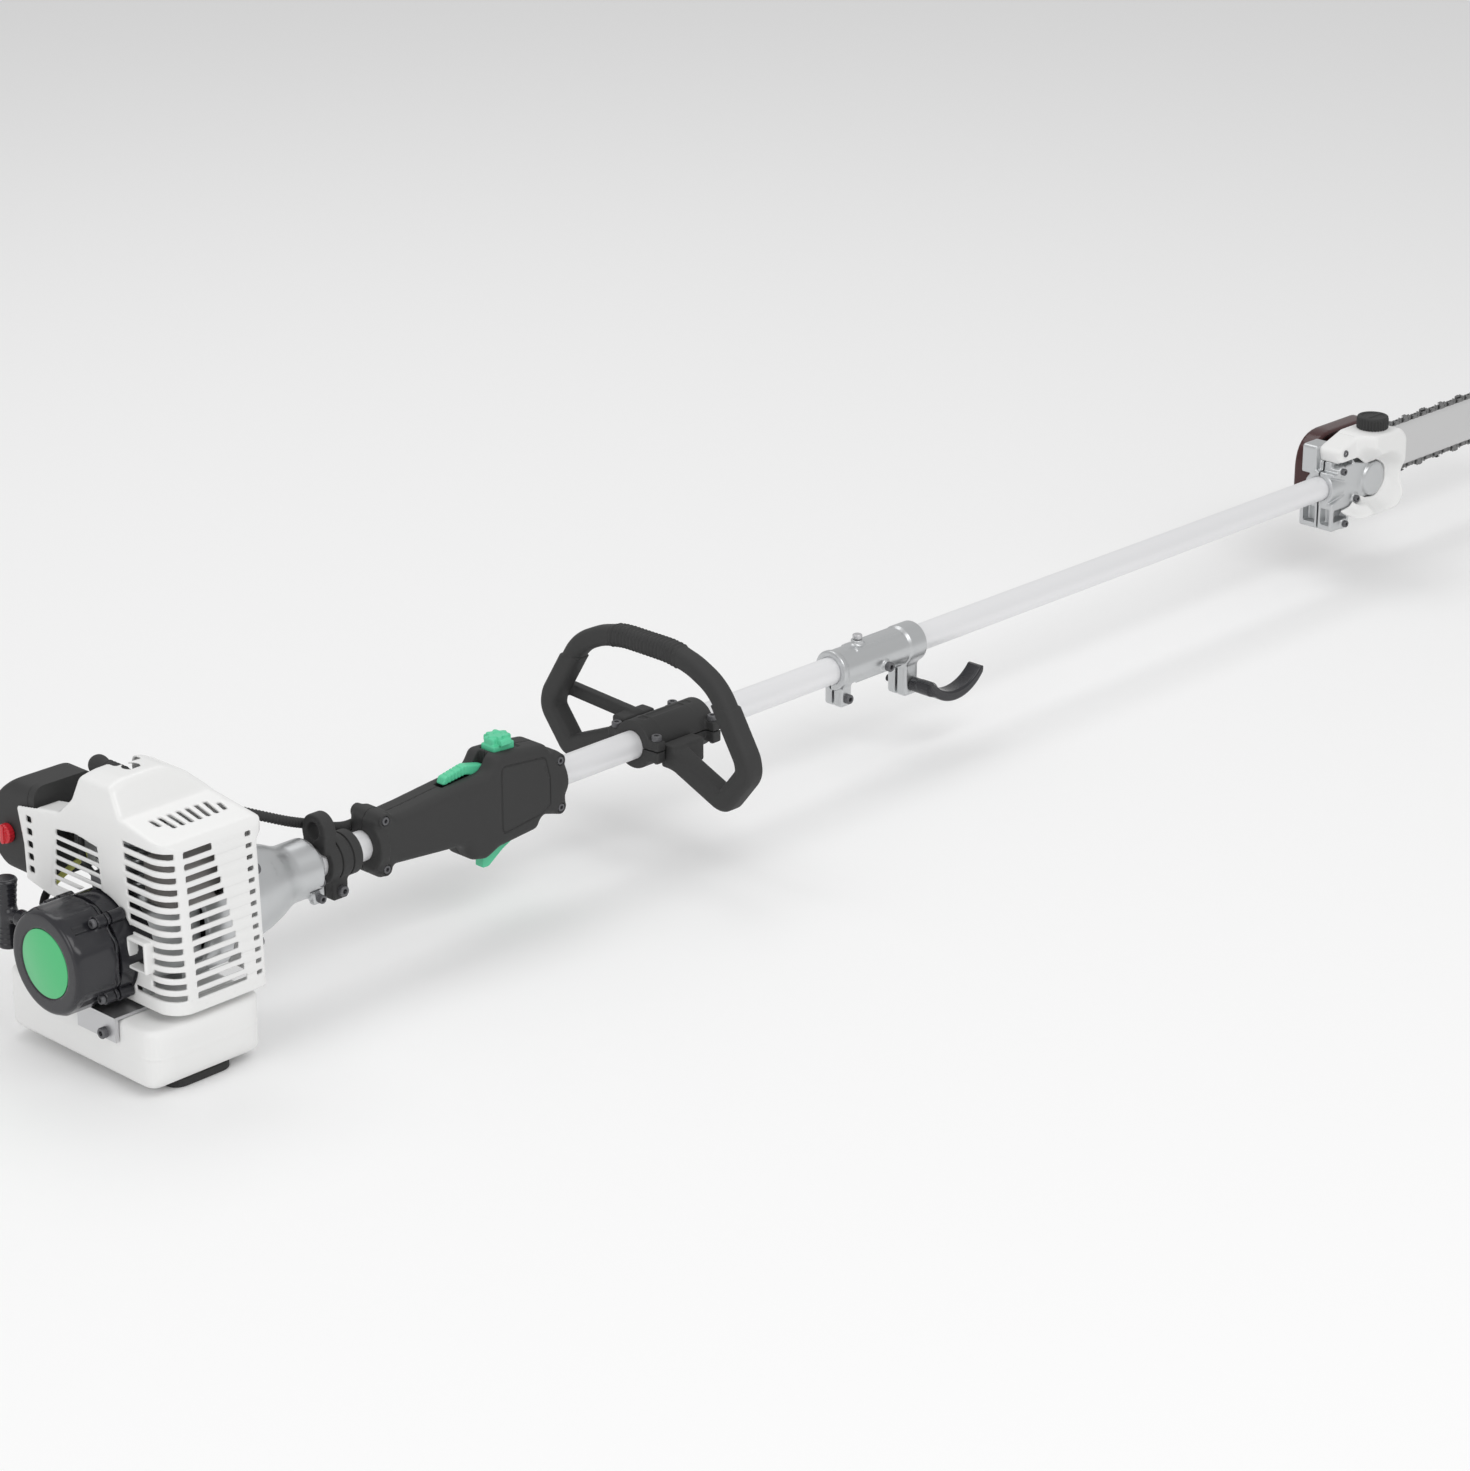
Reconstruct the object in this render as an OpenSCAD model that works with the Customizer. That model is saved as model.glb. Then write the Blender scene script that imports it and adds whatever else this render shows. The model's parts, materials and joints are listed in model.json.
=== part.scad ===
// Petrol pole saw on a split shaft: a small two-stroke engine, a controls handle, a loop handle,
// a quick coupler and a chainsaw head. The shaft runs along +X, the stand rests on Z = 0.

/* [Shaft] */
// Height of the shaft axis above the stand's underside
axis_h = 115; // [112:1:125]
// Outside diameter of both shaft tubes
tube_d = 28; // [24:0.5:30]
// Wall of both shaft tubes
tube_wall = 1.6; // [1.2:0.1:2.4]
// Length of the engine-side tube
rear_tube_len = 776; // [760:2:1100]
// Length of the saw-side tube
front_tube_len = 836; // [500:2:1100]
// Diameter of the drive shafts
drive_d = 8; // [7:0.5:9]
// Running clearance on radius for shafts, pins and levers
run_gap = 0.05; // [0.02:0.01:0.09]

/* [Engine] */
// Cylinder bore
bore_d = 36; // [32:1:40]
// Piston stroke
stroke = 28; // [24:1:28]
// Side of the square cooling fins
fin_w = 60; // [54:1:62]
// Radius of the round starter housing
starter_r = 48; // [46:0.5:49]
// Radius of the flywheel and its fan
flywheel_r = 40; // [36:0.5:40.5]
// Radius inside the clutch drum
drum_r = 36.5; // [32:0.5:37.5]
// Wall of the moulded engine cover
cover_wall = 2.5; // [2:0.1:3]
// Number of cooling slots on the cover's side
side_slots = 13; // [9:1:13]
// Height of one cooling slot
slot_h = 5.6; // [4:0.2:6.4]

/* [Tanks] */
// Width of the fuel tank across the machine
tank_w = 212; // [190:2:216]
// Height of the fuel tank
tank_h = 57; // [50:1:57]
// Wall of both tanks
tank_wall = 2.5; // [2:0.1:3.5]
// Diameter of the fuel cap
fuel_cap_d = 36; // [30:1:38]
// Diameter of the chain oil cap
oil_cap_d = 37; // [30:1:38]
// Length of the stand foot across the machine
foot_len = 160; // [120:2:170]

/* [Controls] */
// Length of the throttle trigger, from its pivot to its tip
trigger_len = 52; // [44:1:54]
// Width of the throttle trigger
trigger_w = 11; // [8:0.5:12]
// Diameter of the pivots of the trigger and the safety lever
pivot_d = 5; // [4:0.5:6]
// Half the outside width of the loop handle
loop_half_w = 136; // [120:1:140]
// Height of the loop handle's top above the shaft axis
loop_top = 98; // [90:1:100]
// Diameter of the loop handle's bar
loop_d = 22; // [18:0.5:24]

/* [Coupler and harness] */
// Length of the coupler's sleeve
coupler_len = 124; // [110:1:140]
// Outside radius of the coupler's sleeve
coupler_r = 19.5; // [18:0.5:21]
// Diameter of the hole in the harness eye
eye_d = 16; // [12:0.5:18]

/* [Saw head] */
// Length of guide bar in front of the gear case
bar_reach = 305; // [250:5:400]
// Height of the guide bar
bar_h = 53; // [45:1:56]
// Thickness of the guide bar
bar_t = 4.2; // [3.2:0.2:5]
// Radius of the chain sprocket's root
sprocket_r = 14; // [12:0.5:16]
// Teeth on the bevel pinion
pinion_teeth = 14; // [10:1:16]
// Teeth on the bevel gear
gear_teeth = 18; // [16:1:20]

/* [Hidden] */
$fn = 64;
eps = 0.01;
tube_r = tube_d / 2;
tube_ir = tube_r - tube_wall;
drive_r = drive_d / 2;

// Stations along the shaft
starter_x0 = -100;
starter_x1 = -55;
fan_x1 = -21;
case_x0 = -21;
case_x1 = 37;
chamber_x0 = -9.5;
chamber_x1 = 25.5;
cyl_x = 8;
clutch_x0 = 37;
clutch_x1 = 192;
rear_tube_x0 = 122;
rear_tube_x1 = rear_tube_x0 + rear_tube_len;
front_tube_x0 = rear_tube_x1 + 2;
front_tube_x1 = front_tube_x0 + front_tube_len;
hanger_x = 201;
grip_x0 = 250;
grip_x1 = 487;
loop_x = 615;
coupler_x0 = rear_tube_x1 - 26;
coupler_x1 = coupler_x0 + coupler_len;
knob_x = coupler_x1 - 14;
head_x = front_tube_x1 + 40;
bar_y = 33;
bar_x0 = head_x + 20;
bar_x1 = head_x + 95 + bar_reach;

// Engine values, measured from the shaft axis
case_half = 36;
case_screw = 34;
case_screw_x = 98;
flange_z = 36;
cyl_top = 104;
bearing_r = 16;
journal_r = 7.5;
throw = stroke / 2;
pin_r = 5;
fan_r = flywheel_r + 7;
boss_place = fan_r + 1;
boss_gap = 0.2;
cover_x0 = -40;
cover_x1 = 61;
cover_y0 = -95;
cover_low = -44;
cover_high = 111;
ridge_top = 148;
tank_x0 = -62;
tank_x1 = 62;
tank_y0 = -92;
tank_bottom = 8;
tank_top = tank_bottom + tank_h;
foot_h = tank_bottom;
foot_w = 66;

// Routes of the held leads, chosen by hand, in millimetres from the shaft axis
conduit_route = [[52, 40, 92], [70, 39, 88], [95, 35, 79], [125, 29, 65], [155, 24, 51], [185, 22, 37],
  [210, 21.5, 27], [232, 20, 18], [246, 19, 14.5], [258, 19, 14]];
lead_route = [[-31, 14.2, 55], [-31, 22, 57], [-30, 32, 65], [-26, 39, 80], [-16, 42, 92], [-7, 47, 105], [-6, 52, 118],
  [-1, 54, 127]];
fuel_route = [[-22, 93, -49.5], [-26, 93, -30], [-33, 92, -8], [-32, 88, 14], [-22, 80, 30], [-9, 70, 44], [4, 62, 54.5]];

// ---- helpers -------------------------------------------------------------------------------

// Lifts its children from the shaft axis to the row frame
module on_axis() {
  translate([0, 0, axis_h]) children();
}

// Solid cylinder along X
module rod_x(x0, x1, r, y = 0, z = 0) {
  translate([x0, y, z]) rotate([0, 90, 0]) cylinder(h = x1 - x0, r = r);
}

// Solid cylinder along Y
module rod_y(x, y0, y1, r, z = 0) {
  translate([x, y0, z]) rotate([-90, 0, 0]) cylinder(h = y1 - y0, r = r);
}

// Solid cylinder along Z
module rod_z(x, y, z0, z1, r) {
  translate([x, y, z0]) cylinder(h = z1 - z0, r = r);
}

// Cone along X
module cone_x(x0, x1, r0, r1) {
  translate([x0, 0, 0]) rotate([0, 90, 0]) cylinder(h = x1 - x0, r1 = r0, r2 = r1);
}

// Tube along X
module tube_x(x0, x1, ro, ri) {
  difference() {
    rod_x(x0, x1, ro);
    rod_x(x0 - 1, x1 + 1, ri);
  }
}

// Box given by two corners
module span(a, b) {
  translate(a) cube(b - a);
}

// Extrudes a profile drawn in (Y, Z) along X
module from_rear(x0, x1) {
  translate([x0, 0, 0]) rotate([90, 0, 90]) linear_extrude(height = x1 - x0) children();
}

// Extrudes a profile drawn in (X, Z) along Y
module from_side(y0, y1) {
  translate([0, y1, 0]) rotate([90, 0, 0]) linear_extrude(height = y1 - y0) children();
}

// Rounded rectangle between two corners
module round_rect(x0, y0, x1, y1, r) {
  translate([x0 + r, y0]) square([x1 - x0 - 2 * r, y1 - y0]);
  translate([x0, y0 + r]) square([x1 - x0, y1 - y0 - 2 * r]);
  for (x = [x0 + r, x1 - r], y = [y0 + r, y1 - r])
    translate([x, y]) circle(r = r);
}

// Round lead swept along its route, with a ring at each point of the smoothed route
function lerp(a, b, t) = a + (b - a) * t;
function catmull(p, i, t) =
  let (n = len(p) - 1, a = p[max(i - 1, 0)], b = p[i], c = p[i + 1], d = p[min(i + 2, n)])
  0.5 * (2 * b + (c - a) * t + (2 * a - 5 * b + 4 * c - d) * t * t + (3 * b - 3 * c + d - a) * t * t * t);
function smooth_route(p, k) = concat([for (i = [0:len(p) - 2], j = [0:k - 1]) catmull(p, i, j / k)],
  [p[len(p) - 1]]);
function unit(v) = v / norm(v);

module lead(route, r, k, sides = 8) {
  p = smooth_route(route, k);
  n = len(p);
  t = [for (i = [0:n - 1]) unit(p[min(i + 1, n - 1)] - p[max(i - 1, 0)])];
  side = [for (i = [0:n - 1]) unit(cross(t[i], [0.31, 0.95, 0.05]))];
  up = [for (i = [0:n - 1]) cross(side[i], t[i])];
  points = [for (i = [0:n - 1], s = [0:sides - 1])
    p[i] + r * (cos(360 * s / sides) * side[i] + sin(360 * s / sides) * up[i])];
  walls = [for (i = [0:n - 2], s = [0:sides - 1])
    let (a = i * sides + s, b = i * sides + (s + 1) % sides) [a, a + sides, b + sides, b]];
  rear_end = [for (s = [0:sides - 1]) s];
  front_end = [for (s = [sides - 1:-1:0]) (n - 1) * sides + s];
  polyhedron(points = points, faces = concat(walls, [rear_end], [front_end]), convexity = 4);
}

// Cap screw along X with its head at the rear
module cap_screw_x(x, y, z, len, r = 2.5) {
  rod_x(x - 5, x, 2 * r, y, z);
  rod_x(x, x + len, r, y, z);
}

// Cap screw along Y with its head towards -Y
module cap_screw_y(x, y, z, len, r = 2.5) {
  rod_y(x, y - 5, y, 2 * r, z);
  rod_y(x, y, y + len, r, z);
}

// Cap screw along Z with its head on top
module cap_screw_z(x, y, z, len, r = 2.5) {
  rod_z(x, y, z, z + 5, 2 * r);
  rod_z(x, y, z - len, z, r);
}

// ---- engine --------------------------------------------------------------------------------

module crankcase() {
  color("silver") on_axis() difference() {
    union() {
      from_rear(case_x0, case_x1) round_rect(-case_half, -case_half, case_half, flange_z, 10);
      for (x = [case_x0 + 8, case_x1 - 8])
        span([x - 7, -26, tank_top - axis_h], [x + 7, 26, -case_half + 1]);
      for (y = [-1, 1], z = [-1, 1])
        rod_x(case_x1 - 12, case_x1, 7, y * case_screw, z * case_screw);
    }
    rod_x(chamber_x0, chamber_x1, 26.5);
    rod_x(case_x0 - 1, case_x1 + 1, bearing_r);
    rod_z(cyl_x, 0, 0, flange_z + 1, bore_d / 2 + 0.5);
    for (y = [-1, 1], z = [-1, 1])
      rod_x(case_x1 - 13, case_x1 + 1, 2.6, y * case_screw, z * case_screw);
  }
}

module fan_housing() {
  color("#141414") on_axis() difference() {
    union() {
      rod_x(starter_x1, fan_x1, fan_r);
      for (a = starter_screw_angles)
        rotate([a, 0, 0]) rod_x(starter_x1 + boss_gap, starter_x1 + 14, 6, 0, boss_place);
    }
    rod_x(starter_x1 - 1, fan_x1 - 4, flywheel_r + 4);
    rod_x(fan_x1 - 5, fan_x1 + 1, bearing_r);
    span([-38, -15, 38], [-22.5, 15, 60]);
    for (a = [60:30:300])
      rotate([a, 0, 0]) rod_x(fan_x1 - 5, fan_x1 + 1, 5, 0, 30);
    for (a = starter_screw_angles)
      rotate([a, 0, 0]) rod_x(starter_x1 - 1, starter_x1 + 12, 2.1, 0, boss_place);
  }
}
starter_screw_angles = [40, 130, 220, 310];

module cylinder_barrel_bore() {
  rod_z(cyl_x, 0, flange_z - 1, cyl_top - 12, bore_d / 2);
}

module cylinder_block() {
  color("silver") on_axis() difference() {
    union() {
      translate([cyl_x, 0, flange_z]) linear_extrude(height = 7)
        round_rect(-26, -26, 26, 26, 6);
      rod_z(cyl_x, 0, flange_z, cyl_top, bore_d / 2 + 4.5);
      for (i = [0:7])
        translate([cyl_x, 0, 48 + 7 * i]) linear_extrude(height = 2.2)
          round_rect(-fin_w / 2, -fin_w / 2, fin_w / 2, fin_w / 2, 7);
      span([cyl_x - 14, -31, 50], [cyl_x + 14, -15, 76]);
      span([cyl_x - 14, 15, 54], [cyl_x + 14, 31, 80]);
    }
    cylinder_barrel_bore();
    rod_z(cyl_x, 0, cyl_top - 13, cyl_top + 1, 7);
    rod_y(cyl_x, -40, -10, 8, 63);
    rod_y(cyl_x, 10, 40, 8, 67);
  }
}

module piston_and_rod() {
  wrist_z = throw + 54;
  color("gainsboro") on_axis() {
    difference() {
      rod_z(cyl_x, 0, wrist_z - 12, wrist_z + 12, bore_d / 2 - run_gap);
      rod_z(cyl_x, 0, wrist_z - 13, wrist_z + 8, bore_d / 2 - 3);
      rod_y(cyl_x, -bore_d, bore_d, 4.5, wrist_z);
    }
    difference() {
      rod_y(cyl_x, -15.5, 15.5, 4.45, wrist_z);
      rod_y(cyl_x, -20, 20, 2.5, wrist_z);
    }
    difference() {
      union() {
        span([cyl_x - 4, -5, throw + pin_r + 2], [cyl_x + 4, 5, wrist_z - 5]);
        rod_y(cyl_x, -5, 5, 7, wrist_z);
      }
      rod_y(cyl_x, -6, 6, 4.5, wrist_z);
    }
  }
}

module crankshaft() {
  color("darkgray") on_axis() {
    rod_x(-52, chamber_x0 + 1, journal_r - run_gap);
    rod_x(chamber_x1 - 1, 62, journal_r - run_gap);
    rod_x(chamber_x0 + 0.6, 2, 25.5);
    rod_x(14, chamber_x1 - 0.6, 25.5);
    rod_x(1, 15, pin_r, 0, throw);
  }
}

module flywheel() {
  blade_len = flywheel_r - 15;
  color("silver") on_axis() difference() {
    union() {
      rod_x(-36, -29, flywheel_r);
      rod_x(-50, -28, 13);
      for (i = [0:17])
        rotate([i * 20, 0, 0]) span([-47, -1, 14], [-35, 1, 14 + blade_len]);
    }
    rod_x(-60, 0, journal_r);
  }
}

module clutch_shoes() {
  color("dimgray") on_axis() {
    difference() {
      rod_x(46, 58, drum_r - 1);
      rod_x(45, 59, 18);
      span([45, -50, -2], [59, 50, 2]);
    }
    difference() {
      union() {
        rod_x(42, 45.6, 26);
        rod_x(42, 62, 12);
      }
      rod_x(40, 70, journal_r);
    }
    for (s = [-1, 1])
      rod_x(45, 60, 4, 0, s * 14.2);
  }
}

module clutch_drum() {
  color("gray") on_axis() difference() {
    union() {
      rod_x(44, 69, drum_r + 2.5);
      rod_x(66, 112, journal_r - run_gap);
    }
    rod_x(43, 65.5, drum_r);
    rod_x(84, 113, drive_r + run_gap);
  }
}

module clutch_housing() {
  cavity_r = drum_r + 5.5;
  color("darkgray") on_axis() difference() {
    union() {
      rod_x(clutch_x0, 72, 48);
      cone_x(72, 125, 48, 40);
      for (y = [-1, 1], z = [-1, 1])
        rod_x(clutch_x0, case_screw_x, 7, y * case_screw, z * case_screw);
      cone_x(125, 156, 40, 27);
      rod_x(156, 184, 27);
      rod_x(184, clutch_x1, tube_r + 5);
      span([176, -20, -30], [190, -13, -4]);
    }
    rod_x(clutch_x0 - 1, 74, cavity_r);
    rod_x(73, 92, bearing_r);
    rod_x(91, rear_tube_x0, 11);
    rod_x(rear_tube_x0 - eps, clutch_x1 + 1, tube_r);
    for (y = [-1, 1], z = [-1, 1]) {
      rod_x(clutch_x0 - 1, case_screw_x + 1, 2.6, y * case_screw, z * case_screw);
      rod_x(case_screw_x, case_screw_x + 20, 5.3, y * case_screw, z * case_screw);
    }
    for (z = [-8, -24]) {
      rod_y(183, -30, -12, 2.1, z);
      rod_y(183, -40, -19.98, 4.5, z);
    }
  }
}

module ball_bearing(x0, x1, ro, ri) {
  tube_x(x0, x1, ro, ri);
}

module rear_bearings() {
  color("lightsteelblue") on_axis() {
    ball_bearing(case_x0 + 1, chamber_x0 - 1, bearing_r, journal_r);
    ball_bearing(chamber_x1 + 1, case_x1 - 1, bearing_r, journal_r);
    ball_bearing(76, 88, bearing_r, journal_r);
    for (x = [rear_tube_x0 + 80:180:rear_tube_x1 - 20])
      ball_bearing(x, x + 18, tube_ir, drive_r + run_gap);
  }
}

module ignition_coil() {
  color("#303030") on_axis() difference() {
    union() {
      span([-36, -14, 41.5], [-26, -9, 48]);
      span([-36, 9, 41.5], [-26, 14, 48]);
      span([-37, -14, 48], [-24, 14, 60]);
    }
    rod_y(-31, 12, 15, 3.4, 55);
  }
}

module ht_lead() {
  color("#202020") on_axis() lead(lead_route, 3, 3);
}

module spark_plug() {
  color("whitesmoke") on_axis() {
    rod_z(cyl_x, 0, cyl_top - 11.5, cyl_top, 6.95);
    translate([cyl_x, 0, cyl_top]) cylinder(h = 8, r = 11, $fn = 6);
    rod_z(cyl_x, 0, cyl_top + 8, cyl_top + 24, 5);
    rod_z(cyl_x, 0, cyl_top + 24, cyl_top + 29, 3.2);
  }
}

module plug_boot() {
  boot_z = 133;
  color("#181818") on_axis() difference() {
    union() {
      rod_z(cyl_x, 0, cyl_top + 10, boot_z, 8.5);
      translate([cyl_x, 0, boot_z]) sphere(r = 8.5);
      rod_y(cyl_x, 0, 52, 7.5, boot_z);
      translate([cyl_x, 54, boot_z]) sphere(r = 9.5);
    }
    rod_z(cyl_x, 0, cyl_top + 8, cyl_top + 24, 5.2);
    rod_z(cyl_x, 0, cyl_top + 23, cyl_top + 30, 3.4);
    lead_mouth();
  }
}

// Cut that clears the end of the ignition lead
module lead_mouth() {
  p = lead_route[len(lead_route) - 1];
  q = lead_route[len(lead_route) - 2];
  d = unit(q - p);
  translate(p) rotate([0, acos(d[2]), atan2(d[1], d[0])]) cylinder(h = 20, r = 4);
}

module muffler() {
  color("dimgray") on_axis() difference() {
    union() {
      intersection() {
        from_side(-84, -43) round_rect(-24, 43, 35, 90, 9);
        from_rear(-30, 50) round_rect(-84, 43, -43, 90, 7);
      }
      rod_y(cyl_x, -44, -31.2, 12, 63);
    }
    span([-21, -81, 46], [32, -46, 87]);
    rod_y(cyl_x, -45, -30, 8, 63);
    rod_y(22, -90, -80, 6, 56);
  }
}

// ---- intake --------------------------------------------------------------------------------

module carburettor() {
  color("lightgray") on_axis() difference() {
    union() {
      span([cyl_x - 16, 31.2, 52], [cyl_x + 16, 37, 82]);
      from_rear(-10, 26) round_rect(37, 50, 71, 84, 4);
      rod_z(cyl_x, 54, 84, 92, 9);
    }
    rod_y(cyl_x, 30, 73, 8, 67);
    rod_x(18.5, 27, 9.4, 54, 66);
    fuel_mouth();
  }
}

// Cut that clears the end of the fuel line at the carburettor
module fuel_mouth() {
  p = fuel_route[len(fuel_route) - 1];
  translate(p - [15, 8, 14]) cube([22, 17, 18]);
}

module primer_bulb() {
  color("#d8d8d8") on_axis() {
    rod_x(26.2, 30, 9, 54, 66);
    translate([30, 54, 66]) sphere(r = 8);
  }
}

filter_y0 = 98;
filter_y1 = 150;
filter_x0 = -36;
filter_x1 = 30;
filter_z0 = 25;
filter_z1 = 114;

module filter_outline(inset) {
  a = inset;
  intersection() {
    from_rear(filter_x0 + a, filter_x1 - a)
      polygon([[filter_y0 - 20, filter_z0 + a], [filter_y1 - 14, filter_z0 + a], [filter_y1 - a, filter_z0 + 14],
        [filter_y1 - a, filter_z1 - 24], [filter_y0 + 24, filter_z1 - a], [filter_y0 - 20, filter_z1 - a]]);
    from_side(0, 200) round_rect(filter_x0 + a, filter_z0 + a, filter_x1 - a, filter_z1 - a, 12 - a);
  }
}

module air_filter_base() {
  color("#1c1c1c") on_axis() difference() {
    union() {
      intersection() {
        filter_outline(0);
        span([-60, filter_y0 - 8, 0], [60, filter_y0 - 0.3, 200]);
      }
      rod_y(cyl_x, 71.2, filter_y0 - 7, 14, 67);
    }
    rod_y(cyl_x, 70, filter_y0 + 1, 8, 67);
  }
}

module air_filter_foam() {
  color("#d9a441") on_axis() intersection() {
    filter_outline(4.5);
    span([-60, filter_y0 + 0.2, 0], [60, filter_y0 + 18, 200]);
  }
}

module air_filter_cover() {
  color("#1c1c1c") on_axis() difference() {
    intersection() {
      filter_outline(0);
      span([-60, filter_y0, 0], [60, 300, 200]);
    }
    intersection() {
      filter_outline(3);
      span([-60, filter_y0 - 1, 0], [60, 300, 200]);
    }
    rod_x(filter_x0 - 1, filter_x0 + 5, 4 + run_gap, choke_y, choke_z);
  }
}
choke_y = 128;
choke_z = 63;

module choke_knob() {
  color("#c2182b") on_axis() {
    rod_x(filter_x0 - 7, filter_x0 - 0.4, 9, choke_y, choke_z);
    rod_x(filter_x0 - 0.5, filter_x0 + 8, 4, choke_y, choke_z);
    span([filter_x0 - 12, choke_y - 2.5, choke_z - 9], [filter_x0 - 6, choke_y + 2.5, choke_z + 9]);
  }
}

// ---- engine cover --------------------------------------------------------------------------

// Rear view of the cover, in (Y, Z) from the shaft axis
module cover_rear_profile() {
  polygon([[cover_y0, cover_low], [cover_y0, cover_high - 8], [cover_y0 + 8, cover_high],
    [-34, cover_high + 11], [-16, ridge_top], [25, ridge_top], [36, 122], [52, cover_high - 3],
    [112, 94], [104, 27], [70, 21], [-8, 21], [-8, cover_low]]);
}

// Side view of the cover, in (X, Z) from the shaft axis
module cover_side_profile() {
  polygon([[cover_x0, cover_low], [cover_x0, 120], [-34, 143], [-20, 147], [5, ridge_top + 1], [24, 147],
    [42, 139], [58, 124], [70, 104], [56, 96], [cover_x1, cover_low]]);
}

// Plan view of the cover, in (X, Y)
module cover_plan(inset) {
  r = 24 - inset;
  a = inset;
  translate([cover_x0 + r + a, cover_y0 + r + a]) circle(r = r);
  translate([cover_x0 + r + a, cover_y0 + a]) square([cover_x1 + 12 - cover_x0 - r - 2 * a, 220]);
  translate([cover_x0 + a, cover_y0 + r + a]) square([cover_x1 + 12 - cover_x0 - 2 * a, 200]);
}

module cover_solid(inset) {
  intersection() {
    from_rear(cover_x0, cover_x1 + 20) offset(delta = -inset) cover_rear_profile();
    from_side(-120, 120) offset(delta = -inset) cover_side_profile();
    translate([0, 0, -60]) linear_extrude(height = 260) cover_plan(inset);
  }
}

side_pitch = (cover_high - 10 - 6 + 30) / side_slots;

module cover_slots() {
  for (i = [0:side_slots - 1]) {
    z = cover_high - 10 - slot_h - i * side_pitch;
    span([-20 + i * 0.6, cover_y0 - 5, z], [9 + i * 2.5, cover_y0 + 12, z + slot_h]);
    if (i < 8)
      span([cover_x0 - 5, cover_y0 + 4 , z], [-24, -36, z + slot_h]);
    if (i > 8 && i != 11)
      span([cover_x0 - 5, cover_y0 + 4, z], [-24, -66, z + slot_h]);
  }
  span([cover_x0 - 5, -59, -3], [-30, -37, 18]);
  for (i = [0:5])
    span([cover_x0 - 5, -4, 32 + i * 9.8], [-30, 60, 38 + i * 9.8]);
  for (i = [0:4])
    span([cover_x0 - 5, 92, 36 + i * 11], [-30, 98, 42 + i * 11]);
  for (i = [0:7])
    span([-24 + i * 9.5, -70, 90], [-19.5 + i * 9.5, -46, 140]);
}

module engine_cover() {
  color("gainsboro") on_axis() difference() {
    cover_solid(0);
    cover_solid(cover_wall);
    translate([0, 0, -1]) span([cover_x0 + cover_wall, cover_y0 + 24, cover_low - 10], [90, 120, cover_low + 8]);
    span([-14, 27, -60], [100, 130, 200]);
    span([cover_x0 + cover_wall, 27, 0], [100, 130, 90]);
    span([cover_x0 + cover_wall, 84, 0], [100, 130, 200]);
    rod_x(cover_x0 - 5, cover_x0 + 12, starter_r + 3);
    rod_x(20, 100, 57);
    span([20, -30, -60], [100, 60, 20]);
    span([cover_x0 + cover_wall, -14, -60], [100, 60, 24]);
    cover_slots();
    rod_z(cyl_x - 4, 4, 140, 160, 7);
    span([cyl_x - 12, 14, 118], [cyl_x + 12, 60, 146]);
  }
}

// ---- tank and stand ------------------------------------------------------------------------

module tank_solid(inset) {
  a = inset;
  intersection() {
    from_rear(tank_x0 + a, tank_x1 - a)
      round_rect(tank_y0 + a, tank_bottom + a, tank_y0 + tank_w - a, tank_top - a, 20 - a);
    translate([0, 0, -1]) linear_extrude(height = 90)
      round_rect(tank_x0 + a, tank_y0 + a, tank_x1 - a, tank_y0 + tank_w - a, 24 - a);
  }
}
fuel_cap_x = 22;
fuel_cap_y = tank_y0 + tank_w - 32;

module fuel_tank() {
  neck_r = fuel_cap_d / 2 - 4;
  color("ivory") difference() {
    union() {
      tank_solid(0);
      rod_z(fuel_cap_x, fuel_cap_y, tank_top - 6, tank_top + 8, neck_r);
    }
    tank_solid(tank_wall);
    rod_z(fuel_cap_x, fuel_cap_y, tank_top - 12, tank_top + 9, neck_r - 3);
  }
}

module fuel_cap() {
  r = fuel_cap_d / 2;
  color("#181818") difference() {
    union() {
      rod_z(fuel_cap_x, fuel_cap_y, tank_top + 0.5, tank_top + 14, r - 1);
      for (i = [0:17])
        rotate_about(fuel_cap_x, fuel_cap_y, i * 20)
          rod_z(fuel_cap_x + r - 1, fuel_cap_y, tank_top + 0.5, tank_top + 13, 1);
    }
    rod_z(fuel_cap_x, fuel_cap_y, tank_top, tank_top + 10, r - 4 + run_gap);
  }
}

// Turns its children about a vertical line through (x, y)
module rotate_about(x, y, a) {
  translate([x, y, 0]) rotate([0, 0, a]) translate([-x, -y, 0]) children();
}

module fuel_line() {
  color("#c9d24a") on_axis() lead(fuel_route, 3, 4);
}

module stand_foot() {
  color("#181818") difference() {
    linear_extrude(height = foot_h)
      round_rect(-foot_w / 2, -foot_len / 2, foot_w / 2, foot_len / 2, 14);
    for (y = [-1, 1])
      rod_z(0, y * foot_len / 4, 3, foot_h + 1, 12);
  }
}

module mount_bracket() {
  z = tank_top - axis_h;
  color("silver") on_axis() difference() {
    union() {
      span([-66, -46, z], [-24, 6, z + 2.8]);
      span([-66, -46, z - 20], [tank_x0 - 0.3, 6, z + 1]);
    }
    rod_x(-70, tank_x0 + 1, 2.6, -32, -64);
  }
}

// ---- starter -------------------------------------------------------------------------------

reel_x0 = -92;
reel_x1 = -80;
reel_r = 30;
rope_r = 1.75;
rope_z = 22;
rope_x = (reel_x0 + reel_x1) / 2;
grip_y = 68;

module starter_outline(r) {
  circle(r = r, $fn = 64);
  for (i = [0:7])
    rotate(22.5 + i * 45) translate([r - 7, 0]) circle(r = 9);
}

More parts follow.
